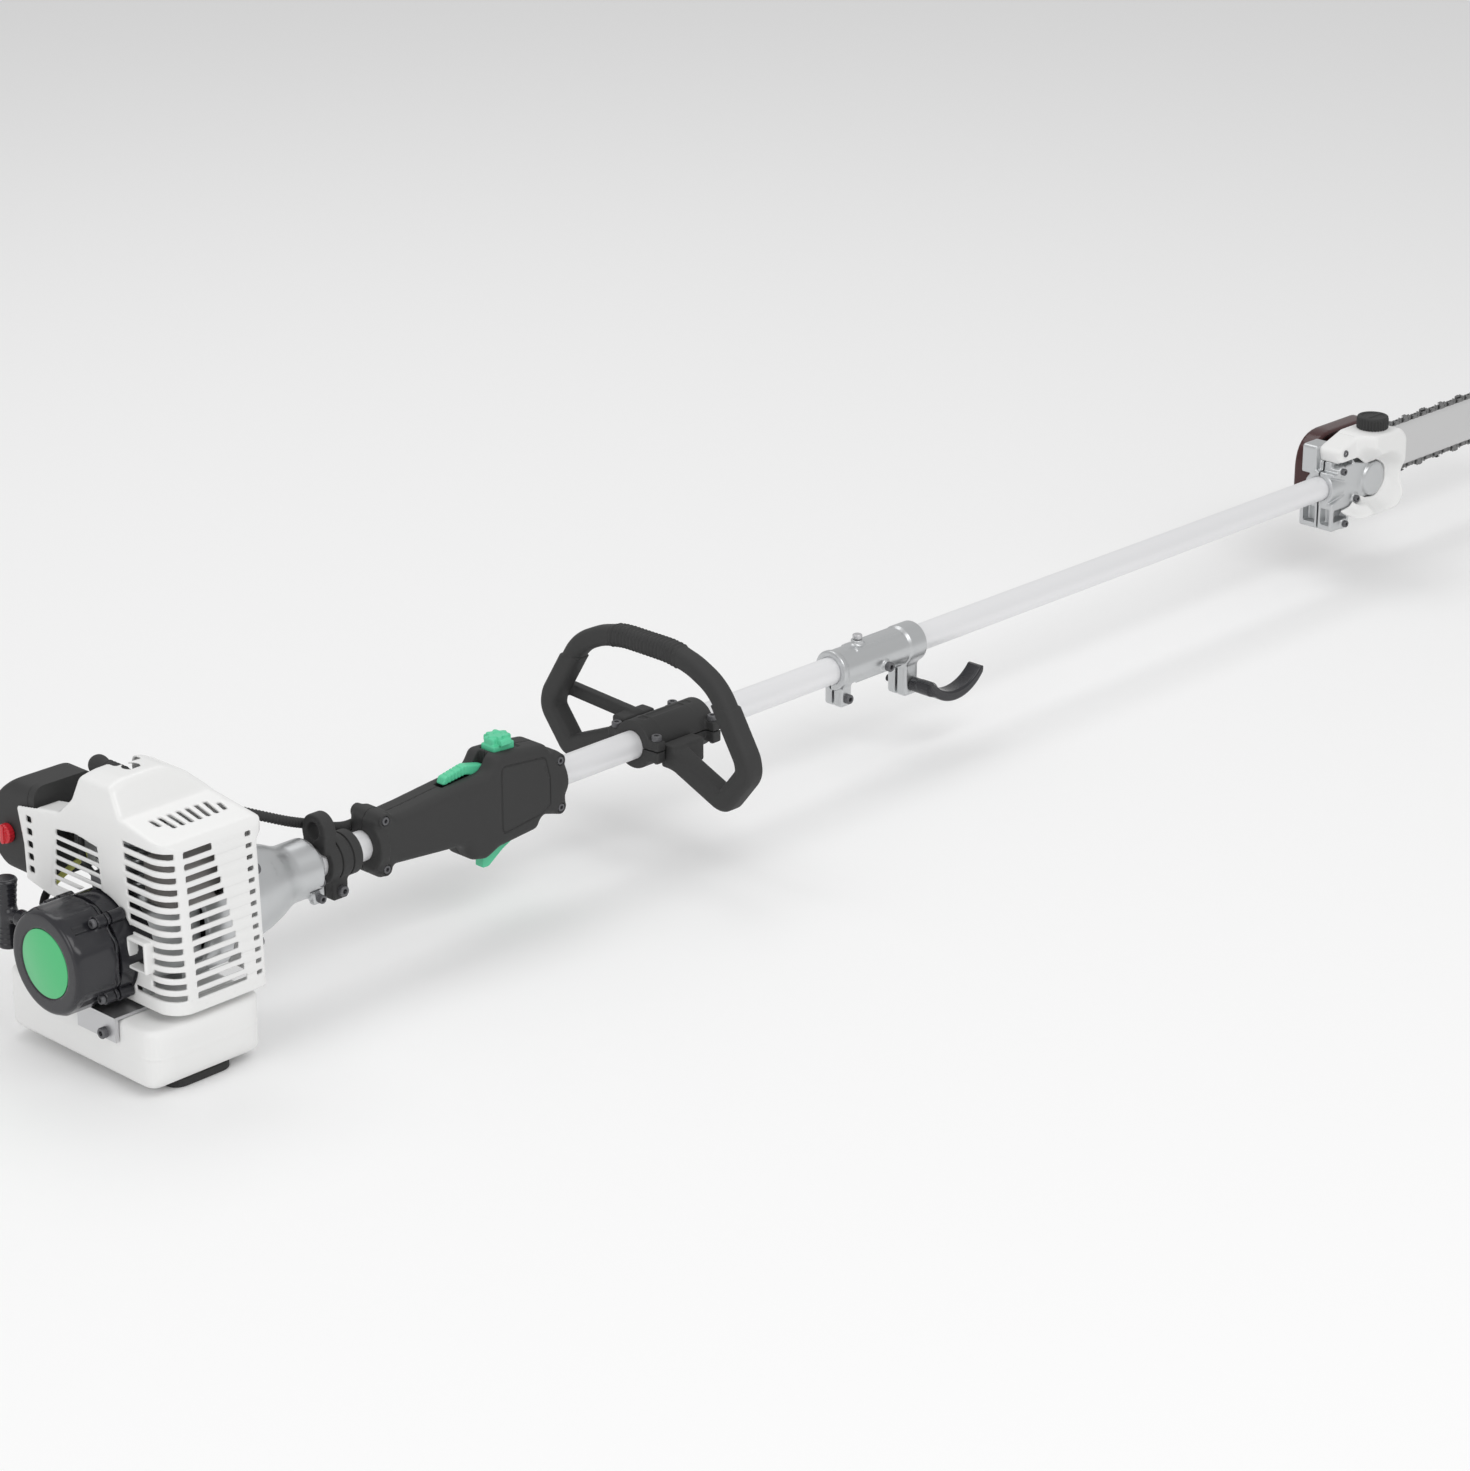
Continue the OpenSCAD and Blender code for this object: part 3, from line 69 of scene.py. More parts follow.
def material(name, colour, rough, metal=0.0, grain=0.0, grain_scale=900.0, spread=0.06, coat=0.0,
             patch=18.0, rough_spread=0.08, wear=0.0, soft=0.0, streak=None, specular=0.5):
    """A surface with colour drift, uneven gloss and a fine grain, and worn edges on metal."""
    mat = bpy.data.materials.new(name)
    mat.use_nodes = True
    tree = mat.node_tree
    nodes, links = tree.nodes, tree.links
    shader = nodes["Principled BSDF"]
    place = nodes.new("ShaderNodeTexCoord").outputs["Object"]
    if streak:
        stretch = nodes.new("ShaderNodeMapping")
        stretch.inputs["Scale"].default_value = streak
        links.new(place, stretch.inputs["Vector"])
        place = stretch.outputs["Vector"]

    def noise(scale, detail, roughness=0.55):
        node = nodes.new("ShaderNodeTexNoise")
        node.inputs["Scale"].default_value = scale
        node.inputs["Detail"].default_value = detail
        node.inputs["Roughness"].default_value = roughness
        links.new(place, node.inputs["Vector"])
        return node.outputs["Fac"]

    def ramp(factor, stops):
        node = nodes.new("ShaderNodeValToRGB")
        node.color_ramp.elements[0].position, node.color_ramp.elements[1].position = stops[0][0], stops[1][0]
        for element, (_, value) in zip(node.color_ramp.elements, stops):
            element.color = (*value, 1)
        links.new(factor, node.inputs["Fac"])
        return node.outputs["Color"]

    low = [max(0.0, c * (1 - spread)) for c in colour]
    high = [min(1.0, c * (1 + spread)) for c in colour]
    shade = ramp(noise(patch, 4), [(0.3, low), (0.7, high)])
    if wear:
        edge = ramp(nodes.new("ShaderNodeNewGeometry").outputs["Pointiness"],
                    [(0.52, (0, 0, 0)), (0.6, (1, 1, 1))])
        mix = nodes.new("ShaderNodeMix")
        mix.data_type = "RGBA"
        mix.blend_type = "ADD"
        mix.inputs["Factor"].default_value = wear
        links.new(shade, mix.inputs["A"])
        links.new(edge, mix.inputs["B"])
        shade = mix.outputs["Result"]
    links.new(shade, shader.inputs["Base Color"])
    gloss = nodes.new("ShaderNodeMapRange")
    gloss.inputs["To Min"].default_value = max(0.02, rough - rough_spread)
    gloss.inputs["To Max"].default_value = min(1.0, rough + rough_spread)
    links.new(noise(patch * 4, 6, 0.65), gloss.inputs["Value"])
    links.new(gloss.outputs["Result"], shader.inputs["Roughness"])
    if grain:
        bump = nodes.new("ShaderNodeBump")
        bump.inputs["Strength"].default_value = grain
        bump.inputs["Distance"].default_value = 0.0004
        links.new(noise(grain_scale, 3), bump.inputs["Height"])
        links.new(bump.outputs["Normal"], shader.inputs["Normal"])
    shader.inputs["Metallic"].default_value = metal
    shader.inputs["Specular IOR Level"].default_value = specular
    shader.inputs["Coat Weight"].default_value = coat
    shader.inputs["Coat Roughness"].default_value = 0.12
    if soft:
        shader.inputs["Subsurface Weight"].default_value = soft
        shader.inputs["Subsurface Radius"].default_value = (0.012, 0.010, 0.008)
        shader.inputs["Subsurface Scale"].default_value = 1.0
    mat.diffuse_color = (*colour, 1)
    return mat


COVER = material("cover_plastic", (0.66, 0.66, 0.645), 0.3, grain=0.05, grain_scale=500, spread=0.02,
                 coat=0.25, patch=9)
CAST = material("cast_alloy", (0.36, 0.355, 0.36), 0.5, metal=0.55, grain=0.5, grain_scale=1500,
                spread=0.07, wear=0.10)
CAST_LIGHT = material("cast_alloy_clean", (0.46, 0.46, 0.47), 0.42, metal=0.55, grain=0.35,
                      grain_scale=1500, wear=0.12)
STEEL = material("machined_steel", (0.55, 0.55, 0.56), 0.28, metal=1, grain=0.15, grain_scale=1200,
                 streak=(1, 1, 20))
DARK_STEEL = material("dark_steel", (0.007, 0.007, 0.008), 0.34, metal=0.2, grain=0.2, grain_scale=1400,
                      spread=0.2, specular=0.22)
HOT_STEEL = material("muffler_steel", (0.10, 0.095, 0.09), 0.6, metal=0.6, grain=0.4, grain_scale=800,
                     spread=0.25)
TANK = material("tank_plastic", (0.86, 0.86, 0.85), 0.42, grain=0.12, grain_scale=350, spread=0.02,
                soft=0.35, patch=7)
GLOSS_BLACK = material("black_gloss", (0.004, 0.004, 0.0045), 0.2, grain=0.04, grain_scale=400, spread=0.2,
                       coat=0.14, specular=0.1)
MATTE_BLACK = material("black_matte", (0.006, 0.006, 0.0075), 0.42, grain=0.4, grain_scale=1900,
                       spread=0.15, specular=0.1)
GREEN_BADGE = material("badge_green", (0.022, 0.36, 0.10), 0.3, grain=0.05, grain_scale=600, spread=0.04,
                       coat=0.2)
GREEN = material("control_green", (0.045, 0.56, 0.27), 0.36, grain=0.12, grain_scale=900, spread=0.05)
RED = material("choke_red", (0.45, 0.004, 0.008), 0.28, grain=0.05, grain_scale=700, spread=0.06, coat=0.3)
RUBBER = material("rubber_black", (0.009, 0.009, 0.009), 0.6, grain=0.5, grain_scale=1300, spread=0.15,
                  specular=0.12)
BULB = material("bulb_clear", (0.62, 0.62, 0.55), 0.25, grain=0.05, grain_scale=500, spread=0.03, soft=0.3)
HOSE = material("fuel_hose", (0.50, 0.48, 0.05), 0.3, grain=0.08, grain_scale=700, spread=0.06, soft=0.3)
FOAM = material("foam", (0.55, 0.30, 0.06), 0.9, grain=1.0, grain_scale=500, spread=0.15)
ROPE = material("rope", (0.62, 0.62, 0.60), 0.75, grain=1.0, grain_scale=1600, spread=0.12)
CERAMIC = material("ceramic", (0.85, 0.85, 0.84), 0.15, spread=0.02, grain=0.03)
PAINT = material("tube_paint", (0.66, 0.665, 0.68), 0.30, grain=0.06, grain_scale=700, spread=0.02,
                 coat=0.2, patch=5)
BAR = material("bar_steel", (0.44, 0.44, 0.44), 0.36, metal=0.7, grain=0.2, grain_scale=500, spread=0.06,
               streak=(2, 1, 40))
CHAIN = material("chain_steel", (0.085, 0.085, 0.09), 0.36, metal=0.8, grain=0.35, grain_scale=1500,
                 spread=0.3, wear=0.15)
BAR_COVER = material("bar_cover_plastic", (0.005, 0.0014, 0.0017), 0.22, grain=0.06, grain_scale=500,
                     spread=0.2, coat=0.1,
                     specular=0.25)

BY_SLOT = {m.name: m for m in bpy.data.materials}
for entry in frame["record"]["subparts"]:
    holder = frame["nodes"][entry["node"]]
    shown = BY_SLOT[entry["material_slot"]]
    if holder.data.materials:
        for i in range(len(holder.data.materials)):
            holder.data.materials[i] = shown
    else:
        holder.data.materials.append(shown)
SLOT_OF = {entry["node"]: entry["material_slot"] for entry in frame["record"]["subparts"]}
BODY_OF = {node: body for body, group in frame["record"]["behaviour"]["bodies"].items() for node in group}


# ---- making pieces -------------------------------------------------------------------------

def add_piece(name, points, faces, nodes, mat=None, smooth_angle=None):
    """Makes an object from points in millimetres off the axis, in place of the named CAD nodes."""
    mesh = bpy.data.meshes.new(name)
    at = np.asarray(points, float) * 0.001
    at[:, 2] += AXIS * 0.001
    groups = faces if isinstance(faces, tuple) else ([f for f in faces if len(f) == 3],
                                                     [f for f in faces if len(f) == 4],
                                                     [f for f in faces if len(f) > 4])
    corner, total = [], []
    for group in groups:
        if isinstance(group, np.ndarray) and len(group):
            corner.append(group.ravel())
            total.append(np.full(len(group), group.shape[1]))
        else:
            for f in group:
                corner.append(np.asarray(f))
                total.append(np.array([len(f)]))
    corner, total = np.concatenate(corner), np.concatenate(total)
    mesh.vertices.add(len(at))
    mesh.vertices.foreach_set("co", at.ravel())
    mesh.loops.add(len(corner))
    mesh.loops.foreach_set("vertex_index", corner.astype(np.int32))
    mesh.polygons.add(len(total))
    mesh.polygons.foreach_set("loop_start", np.concatenate([[0], np.cumsum(total)[:-1]]).astype(np.int32))
    mesh.polygons.foreach_set("loop_total", total.astype(np.int32))
    mesh.update(calc_edges=True)
    mesh.validate()
    return finish_piece(name, mesh, nodes, mat, smooth_angle)


def finish_piece(name, mesh, nodes, mat=None, smooth_angle=None):
    nodes = (nodes,) if isinstance(nodes, str) else nodes
    for polygon in mesh.polygons:
        polygon.use_smooth = True
    if smooth_angle:
        mesh.set_sharp_from_angle(angle=math.radians(smooth_angle))
    obj = bpy.data.objects.new(name, mesh)
    bpy.context.scene.collection.objects.link(obj)
    mesh.materials.append(mat or BY_SLOT[SLOT_OF[nodes[0]]])
    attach(obj, BODY_OF[nodes[0]])
    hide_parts(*nodes)
    return obj


def add_detail(name, points, faces, like, mat, smooth_angle=None):
    """Adds a further piece in place of a CAD node, in a material of its own."""
    return add_piece(name, points, faces, (like,), mat, smooth_angle)


def add_skin(name, space, shape, node, adaptivity=0.02, smooth_angle=60):
    """Adds the skin of a moulded or cast shape in place of a CAD node."""
    return add_piece(name, *space.skin(shape, adaptivity), (node,), smooth_angle=smooth_angle)


class Space:
    """A block of distance values, in millimetres off the axis, from which a moulded or cast skin is taken."""

    def __init__(self, low, high, step=0.8):
        self.low, self.step = low, step
        ticks = [np.arange(a - 2 * step, b + 2 * step, step, dtype=np.float32) for a, b in zip(low, high)]
        self.x = ticks[0][:, None, None]
        self.y = ticks[1][None, :, None]
        self.z = ticks[2][None, None, :]
        self.origin = [t[0] for t in ticks]
        self.shape = [len(t) for t in ticks]

    def skin(self, d, adaptivity=0.0):
        band = 3 * self.step
        values = np.ascontiguousarray(np.broadcast_to(np.clip(d, -band, band), self.shape).astype(np.float32))
        grid = openvdb.FloatGrid(band)
        grid.copyFromArray(values)
        grid.transform = openvdb.createLinearTransform(voxelSize=self.step)
        points, tris, quads = grid.convertToPolygons(isovalue=0.0, adaptivity=adaptivity)
        points = points + np.array(self.origin)
        tris, quads = tris.astype(np.int64)[:, ::-1], quads.astype(np.int64)[:, ::-1]
        return points, (tris, quads)

    def box(self, low, high, r=0.0):
        q = [np.abs(c - (a + b) / 2) - (b - a) / 2 + r for c, a,
             b in zip((self.x, self.y, self.z), low, high)]
        out = np.sqrt(np.maximum(q[0], 0) ** 2 + np.maximum(q[1], 0) ** 2 + np.maximum(q[2], 0) ** 2)
        return out + np.minimum(np.maximum(np.maximum(q[0], q[1]), q[2]), 0) - r

    def rod(self, axis, a, b, r, u=0.0, v=0.0, edge=0.6):
        c = (self.x, self.y, self.z)
        w = c["xyz".index(axis)]
        p, q = [c[i] for i in range(3) if i != "xyz".index(axis)]
        return meet(np.sqrt((p - u) ** 2 + (q - v) ** 2) - r, np.maximum(a - w, w - b), edge)

    def side(self, pts, a, b, edge=0.6):
        return meet(polygon(self.x, self.z, pts), np.maximum(a - self.y, self.y - b), edge)

    def rear(self, pts, a, b, edge=0.6):
        return meet(polygon(self.y, self.z, pts), np.maximum(a - self.x, self.x - b), edge)

    def plan(self, pts, a, b, edge=0.6):
        return meet(polygon(self.x, self.y, pts), np.maximum(a - self.z, self.z - b), edge)

    def turned(self, pts, edge=0.0):
        return polygon(self.x, np.sqrt(self.y ** 2 + self.z ** 2), pts) - edge


def meet(a, b, r=0.0):
    """What two shapes share, with their outer edges rounded to r."""
    if not r:
        return np.maximum(a, b)
    return np.minimum(np.maximum(a, b) + r, 0) + np.sqrt(np.maximum(a + r, 0) ** 2
                                                         + np.maximum(b + r, 0) ** 2) - r


def join(a, b, r=0.0):
    return -meet(-a, -b, r)


def cut(a, b, r=0.0):
    return meet(a, -b, r)


def polygon(u, v, pts):
    """Signed distance to a closed outline in two of the axes."""
    u, v = np.broadcast_arrays(u, v)
    best = np.full(u.shape, 1e9, np.float32)
    inside = np.zeros(u.shape, bool)
    for (ax, ay), (bx, by) in zip(pts, pts[1:] + pts[:1]):
        ex, ey = bx - ax, by - ay
        wx, wy = u - ax, v - ay
        t = np.clip((wx * ex + wy * ey) / (ex * ex + ey * ey + 1e-9), 0, 1)
        best = np.minimum(best, (wx - t * ex) ** 2 + (wy - t * ey) ** 2)
        if ey:
            inside ^= ((ay > v) != (by > v)) & (u < ex * (v - ay) / ey + ax)
    return np.where(inside, -1, 1).astype(np.float32) * np.sqrt(best)


def ease(t):
    """Smooth step from 0 to 1."""
    t = np.clip(t, 0, 1)
    return t * t * (3 - 2 * t)


def line_gap(u, v, pts):
    """Distance to an open line in two of the axes."""
    u, v = np.broadcast_arrays(u, v)
    best = np.full(u.shape, 1e9, np.float32)
    for (ax, ay), (bx, by) in zip(pts, pts[1:]):
        ex, ey = bx - ax, by - ay
        t = np.clip(((u - ax) * ex + (v - ay) * ey) / (ex * ex + ey * ey + 1e-9), 0, 1)
        best = np.minimum(best, (u - ax - t * ex) ** 2 + (v - ay - t * ey) ** 2)
    return np.sqrt(best)


def rounded(pts, r, parts=5):
    """An outline with each corner drawn as an arc. r is one radius, or one for each corner."""
    out = []
    for i, p in enumerate(pts):
        radius = r[i] if isinstance(r, (list, tuple)) else r
        p, a, b = Vector(p), Vector(pts[i - 1]), Vector(pts[(i + 1) % len(pts)])
        u, v = a - p, b - p
        if radius <= 0:
            out.append(tuple(p))
            continue
        half = u.angle(v) / 2
        reach = min(radius / math.tan(half), 0.48 * u.length, 0.48 * v.length)
        start, end = p + u.normalized() * reach, p + v.normalized() * reach
        for k in range(parts + 1):
            t = k / parts
            out.append(tuple((1 - t) ** 2 * start + 2 * t * (1 - t) * p * 0.9 + 2 * t * (1 - t) * 0.1
                             * (start + end) / 2
                             + t ** 2 * end))
    return out


def smooth_line(pts, parts):
    """A curve through the points, with `parts` steps between each two."""
    out = []
    pts = [Vector(p) for p in pts]
    for i in range(len(pts) - 1):
        a, b, c, d = pts[max(i - 1, 0)], pts[i], pts[i + 1], pts[min(i + 2, len(pts) - 1)]
        for k in range(parts):
            t = k / parts
            out.append(0.5 * (2 * b + (c - a) * t + (2 * a - 5 * b + 4 * c - d) * t * t
                              + (3 * b - 3 * c + d - a) * t ** 3))
    return out + [pts[-1]]


def swept(line, radii, sides=20, twist=0.0, lobes=0, depth=0.0):
    """Rings along a line: points and faces of a tube with closed ends."""
    points, faces = [], []
    up = Vector((0.1, 0.2, 1)).normalized()
    for i, p in enumerate(line):
        along = (line[min(i + 1, len(line) - 1)] - line[max(i - 1, 0)]).normalized()
        side = along.cross(up).normalized()
        up = side.cross(along).normalized()
        for k in range(sides):
            a = 2 * math.pi * k / sides
            r = radii[i] * (1 + depth * math.cos(lobes * a + twist * i)) if lobes else radii[i]
            points.append(p + r * (math.cos(a) * side + math.sin(a) * up))
    for i in range(len(line) - 1):
        for k in range(sides):
            a, b = i * sides + k, i * sides + (k + 1) % sides
            faces.append((a, b, b + sides, a + sides))
    faces.append(tuple(range(sides))[::-1])
    faces.append(tuple((len(line) - 1) * sides + k for k in range(sides)))
    return points, faces


def turned_solid(profile, axis, place, segments=64):
    """A closed turned body. profile is (along, radius) pairs; axis is x, y, -y or z."""
    along, u, v = (Vector(c) for c in AXES[axis])
    points, faces = [], []
    for x, r in profile:
        for k in range(segments):
            a = 2 * math.pi * k / segments
            points.append(Vector(place) + along * x + r * (math.cos(a) * u + math.sin(a) * v))
    for i in range(len(profile) - 1):
        for k in range(segments):
            a, b = i * segments + k, i * segments + (k + 1) % segments
            faces.append((a, b, b + segments, a + segments))
    faces.append(tuple(range(segments))[::-1])
    faces.append(tuple((len(profile) - 1) * segments + k for k in range(segments)))
    return points, faces


def gather(parts):
    """Joins several (points, faces) pairs into one."""
    points, faces = [], []
    for p, f in parts:
        base = len(points)
        points += list(p)
        faces += [tuple(i + base for i in face) for face in f]
    return points, faces


# ---- engine cover --------------------------------------------------------------------------

def engine_cover():
    s = Space((-48, -95, -44), (71, 112, 149), 0.75)
    rear = rounded([(-95, -44), (-95, 104), (-87, 111), (-33, 122), (-14, 149), (24, 149), (33, 121),
                    (52, 104),
                    (112, 93.5), (105, 60), (104, 27), (72, 21), (-8, 21), (-8, -44)],
                   [0, 10, 10, 8, 9, 9, 12, 14, 3, 20, 3, 6, 2, 0])
    side = rounded([(-40, -44), (-40, 118), (-35, 143), (-18, 148), (6, 149), (25, 148), (44, 138),
                    (60, 122), (71, 102),
                    (57, 95), (61, -44)], [0, 10, 7, 20, 20, 20, 16, 12, 6, 8, 0])
    plan = rounded([(-40, -95), (67, -95), (71, 120), (-40, 120)], [26, 16, 0, 0], 8)
    outer = meet(meet(polygon(s.y, s.z, rear), polygon(s.x, s.z, side), 4.0), polygon(s.x, s.y, plan), 1.0)
    shell = np.maximum(outer, -(outer + 2.6))
    low_flat = s.box((-60, -110, -44.2), (80, 120, -30), 0)
    shell = np.where(low_flat < 0, np.maximum(outer, -(outer + 3.4)), shell)

    def take(d, r=0.5):
        nonlocal shell
        shell = cut(shell, d, r)

    take(s.box((-37.4, -71, -60), (90, 130, -36)), 0)
    take(s.box((-14, 27, -60), (100, 130, 200)), 0.4)
    take(s.box((-37.4, 27, 0), (100, 130, 90)), 0)
    take(s.box((-37.4, 84, 0), (100, 130, 200)), 0)
    take(s.rod("x", -45, -28, 48.5), 0.5)
    take(s.rod("x", 20, 110, 57), 0.5)
    take(s.box((20, -30, -60), (100, 60, 20)), 0.4)
    take(s.box((-37.4, -14, -60), (100, 60, 24)), 0)
    # cooling slots: thirteen on the side, wrapping round the rear corner
    for i in range(13):
        z = 104 - i * 10.75
        x0, x1 = -21 + i * 0.6, 9 + i * 2.5
        take(s.box((x0, -110, z - 5.8), (x1, -84, z), 0.8), 0.5)
        if i < 9 or i == 12:
            take(s.box((-50, -91, z - 5.4), (-30 + 0.5 * i, -36 - 0.6 * i, z), 0.8), 0.5)
            take(s.box((-33, -110, z - 5.4), (-28 + 0.4 * i, -84, z), 0.8), 0.5)
        elif i < 12:
            take(s.box((-50, -91, z - 5.4), (-30 + 0.5 * i, -66, z), 0.8), 0.5)
            take(s.box((-33, -110, z - 5.4), (-28 + 0.4 * i, -84, z), 0.8), 0.5)
        # the slot runs on as a shallow step to a small window at the front edge
        front = 57 - 0.045 * (z - 20)
        take(s.box((x1 - 2, -110, z - 4.6), (front - 3, -94.1, z - 1.2), 0.4), 0.4)
        take(s.box((front - 9, -110, z - 5.2), (front - 3, -84, z - 1), 0.6), 0.5)
    # square window with its raised rim
    rim = s.box((-47.6, -69, -7), (-37, -44, 22), 1.6)
    shell = join(shell, rim, 0.6)
    take(s.box((-60, -66.2, -4.2), (-28, -46.8, 19.2), 0.8), 0.4)
    # rear window with six slots under an arch
    take(meet(s.rear(rounded([(-7, 29), (68, 29), (58, 86), (28, 93), (-1, 86)], [3, 3, 6, 30, 3]), -50,
                     -39.0, 0.6),
              np.maximum(-100 - s.x, s.x + 39.0), 0.3), 0.4)
    for i in range(6):
        z = 34 + i * 9.6
        narrow = 1.2 * i
        arch = s.rear(rounded([(-4 + narrow * 0.5, z), (63 - narrow, z), (62 - narrow, z + 5.6),
                               (30, z + 5.6 + (3 if i == 5 else 0)),
                               (-3 + narrow * 0.5, z + 5.6)], 1.2), -60, -30, 0.2)
        take(arch, 0.5)
    # wing's column of square holes
    for i in range(5):
        z = 36 + i * 11.6
        take(s.box((-50, 91, z), (-20, 98, z + 6), 1.0), 0.5)
    # fanned vents on the shoulder
    for i in range(8):
        x = -17 + i * 9.3
        length = 12 if i in (0, 7) else 20
        middle = -57 + (4 if i == 0 else (-3 if i == 7 else 0))
        lean = (i - 3.5) * 0.035
        shift = (s.y - middle) * lean
        vent = meet(np.abs(s.x - x - shift) - 2.3,
                    np.maximum(np.abs(s.y - middle) - length / 2, np.abs(s.z - 114) - 14), 1.0)
        take(vent, 0.5)
    # spark plug opening and the boot's notch
    take(s.rod("z", 130, 170, 8, 4, 4), 0.8)
    take(s.box((-6, 12, 116), (22, 60, 160), 3), 0.8)
    # joint line and small marks on the lower band
    take(s.box((-60, -110, -31.2), (80, 0, -30.4)) + np.where(outer > -0.6, 0, 9), 0)
    for x in (-8, 22, 44):
        take(s.box((x, -110, -41), (x + 3, -94.3, -37), 0.3), 0)
    add_skin("cover_shell", s, shell, "engine_cover", smooth_angle=None)


# ---- starter, tank and intake --------------------------------------------------------------

def starter():
    s = Space((-100, -49, -49), (-55, 51, 53), 0.75)
    radius = np.sqrt(s.y ** 2 + s.z ** 2)
    body = s.rod("x", -100, -55, 46.3, edge=4.5)
    for k in range(8):
        a = math.radians(22.5 + 45 * k)
        body = join(body, s.rod("x", -95.5, -55, 8.8, 38.6 * math.cos(a), 38.6 * math.sin(a), 2.5), 3.0)
    for u, v in STARTER_SCREWS:
        if abs(u) < 43 and abs(v) < 47:
            body = join(body, meet(s.rod("x", -69, -55.2, 5.6, u, v, 0.8), radius - 53, 0), 2.0)
    body = join(body, s.rod("y", 36, 51, 8, -86, 22, 1.5), 3.0)
    body = cut(body, s.rod("x", -97, -40, 42, edge=2))
    body = cut(body, s.rod("y", 30, 60, 2.4, -86, 22), 0.8)
    body = cut(body, s.rod("x", -110, -99, 31.4, edge=0.2), 0.4)
    for u, v in STARTER_SCREWS:
        body = cut(body, s.rod("x", -90, -69, 4.6, u, v), 0.5)
    body = cut(body, s.rod("x", -59.6, -58.8, 60) + np.where(radius > 45.4, 0, 9), 0)
    add_skin("starter_shell", s, body, "starter_housing", smooth_angle=70)
    points, faces = turned_solid([(0, 0.01), (0, 30.2), (0.25, 30.7), (0.8, 30.7), (0.8, 0.01)], "x",
                                 (-99.8, 0, 0), 96)
    add_piece("starter_disc", points, faces, ("starter_badge",), smooth_angle=30)


def tank():
    s = Space((-62, -92, -107), (62, 120, -41), 0.8)
    rear = rounded([(-92, -107), (120, -107), (120, -50), (-92, -50)], [20, 20, 14, 14], 8)
    plan = rounded([(-62, -92), (62, -92), (62, 120), (-62, 120)], 26, 8)
    side = rounded([(-62, -107), (62, -107), (62, -50), (-62, -50)], [12, 12, 9, 9], 6)
    body = meet(meet(polygon(s.y, s.z, rear), polygon(s.x, s.y, plan), 5.0), polygon(s.x, s.z, side), 3.0)
    seam = np.abs(s.z + 77) - 0.8
    body = join(body, meet(body - 0.5, seam, 0.4), 0.3)
    body = join(body, s.rod("z", -56, -42, 14, 22, 88, 0.6), 3.0)
    body = np.maximum(body, -(body + 2.5))
    body = cut(body, s.rod("z", -62, -40, 11, 22, 88), 0.4)
    add_skin("tank_shell", s, body, "fuel_tank", adaptivity=0.03)
    s = Space((-33, -80, -115), (33, 80, -107), 0.6)
    foot = s.plan(rounded([(-33, -80), (33, -80), (33, 80), (-33, 80)], 14, 8), -115, -107, 1.5)
    for y in (-66, -55, -18, -6, 6, 18, 55, 66):
        foot = cut(foot, s.box((-26, y - 1.2, -120), (26, y + 1.2, -113.6), 0.6), 0.3)
    add_skin("stand_pad", s, foot, "stand_foot")


def ribbed_cap(name, x, y, low, high, r, node):
    s = Space((x - r, y - r, low), (x + r, y + r, high), 0.4)
    angle = np.arctan2(s.y - y, s.x - x)
    radius = np.sqrt((s.x - x) ** 2 + (s.y - y) ** 2)
    wave = 0.55 * np.clip(np.cos(angle * 30) * 1.6, -1, 1)
    skirt = np.where(s.z < high - 3.2, wave, wave * np.clip((high - s.z - 1.6) / 1.6, 0, 1))
    body = meet(radius - (r - 0.75) - skirt, np.maximum(low - s.z, s.z - high), 1.5)
    body = cut(body, meet(radius - (r - 5.5), high - 1.0 - s.z, 0.4), 0.6)
    grip_bar = meet(np.abs(s.y - y) - 2.4, meet(radius - (r - 4.5), np.abs(s.z - high + 1.6) - 1.6, 0.5), 0.8)
    body = join(body, grip_bar, 0.8)
    body = cut(body, meet(radius - (r - 3.9), s.z - low - 9, 0.4), 0.3)
    add_skin(name, s, body, node, smooth_angle=50)


def intake():
    s = Space((-36, 90, 25), (30, 150, 114), 0.8)
    rear = rounded([(80, 25), (136, 25), (150, 39), (150, 90), (137, 102), (122, 114), (80, 114)],
                   [0, 10, 8, 10, 10, 8, 0])
    side = rounded([(-36, 25), (30, 25), (30, 114), (-36, 114)], 12)
    box = meet(polygon(s.y, s.z, rear), polygon(s.x, s.z, side), 4.0)
    box = cut(box, np.abs(s.y - 98.0) - 0.5 + np.where(box > -1.4, 0, 9), 0)
    hollow = np.maximum(box + 3, 98.3 - s.y)
    cover = np.maximum(np.maximum(box, 98 - s.y), -hollow)
    cover = cut(cover, s.rod("x", -40, -28, 4.3, 128, 63), 0.3)
    for k in range(3):
        cover = cut(cover, s.box((-22, 149.2, 48 + 12 * k), (16, 152, 52 + 12 * k), 0.5), 0.4)
    add_skin("filter_cover", s, cover, "air_filter_cover")
    s = Space((-44, 118, 53), (-26, 138, 73), 0.4)
    knob = s.rod("x", -43, -36.6, 8.8, 128, 63, 1.2)
    knob = join(knob, s.box((-48, 125.6, 54.4), (-38, 130.4, 71.6), 1.6), 1.0)
    knob = np.maximum(knob, -48 - s.x)
    knob = join(knob, s.rod("x", -37, -28, 3.95, 128, 63, 0.3), 0.3)
    angle = np.arctan2(s.z - 63, s.y - 128)
    knob = knob + np.where(s.x < -37, 0.3 * np.clip(np.cos(angle * 18), -0.4, 1), 0)
    add_skin("choke_turn_knob", s, knob, "choke_knob", adaptivity=0.0)


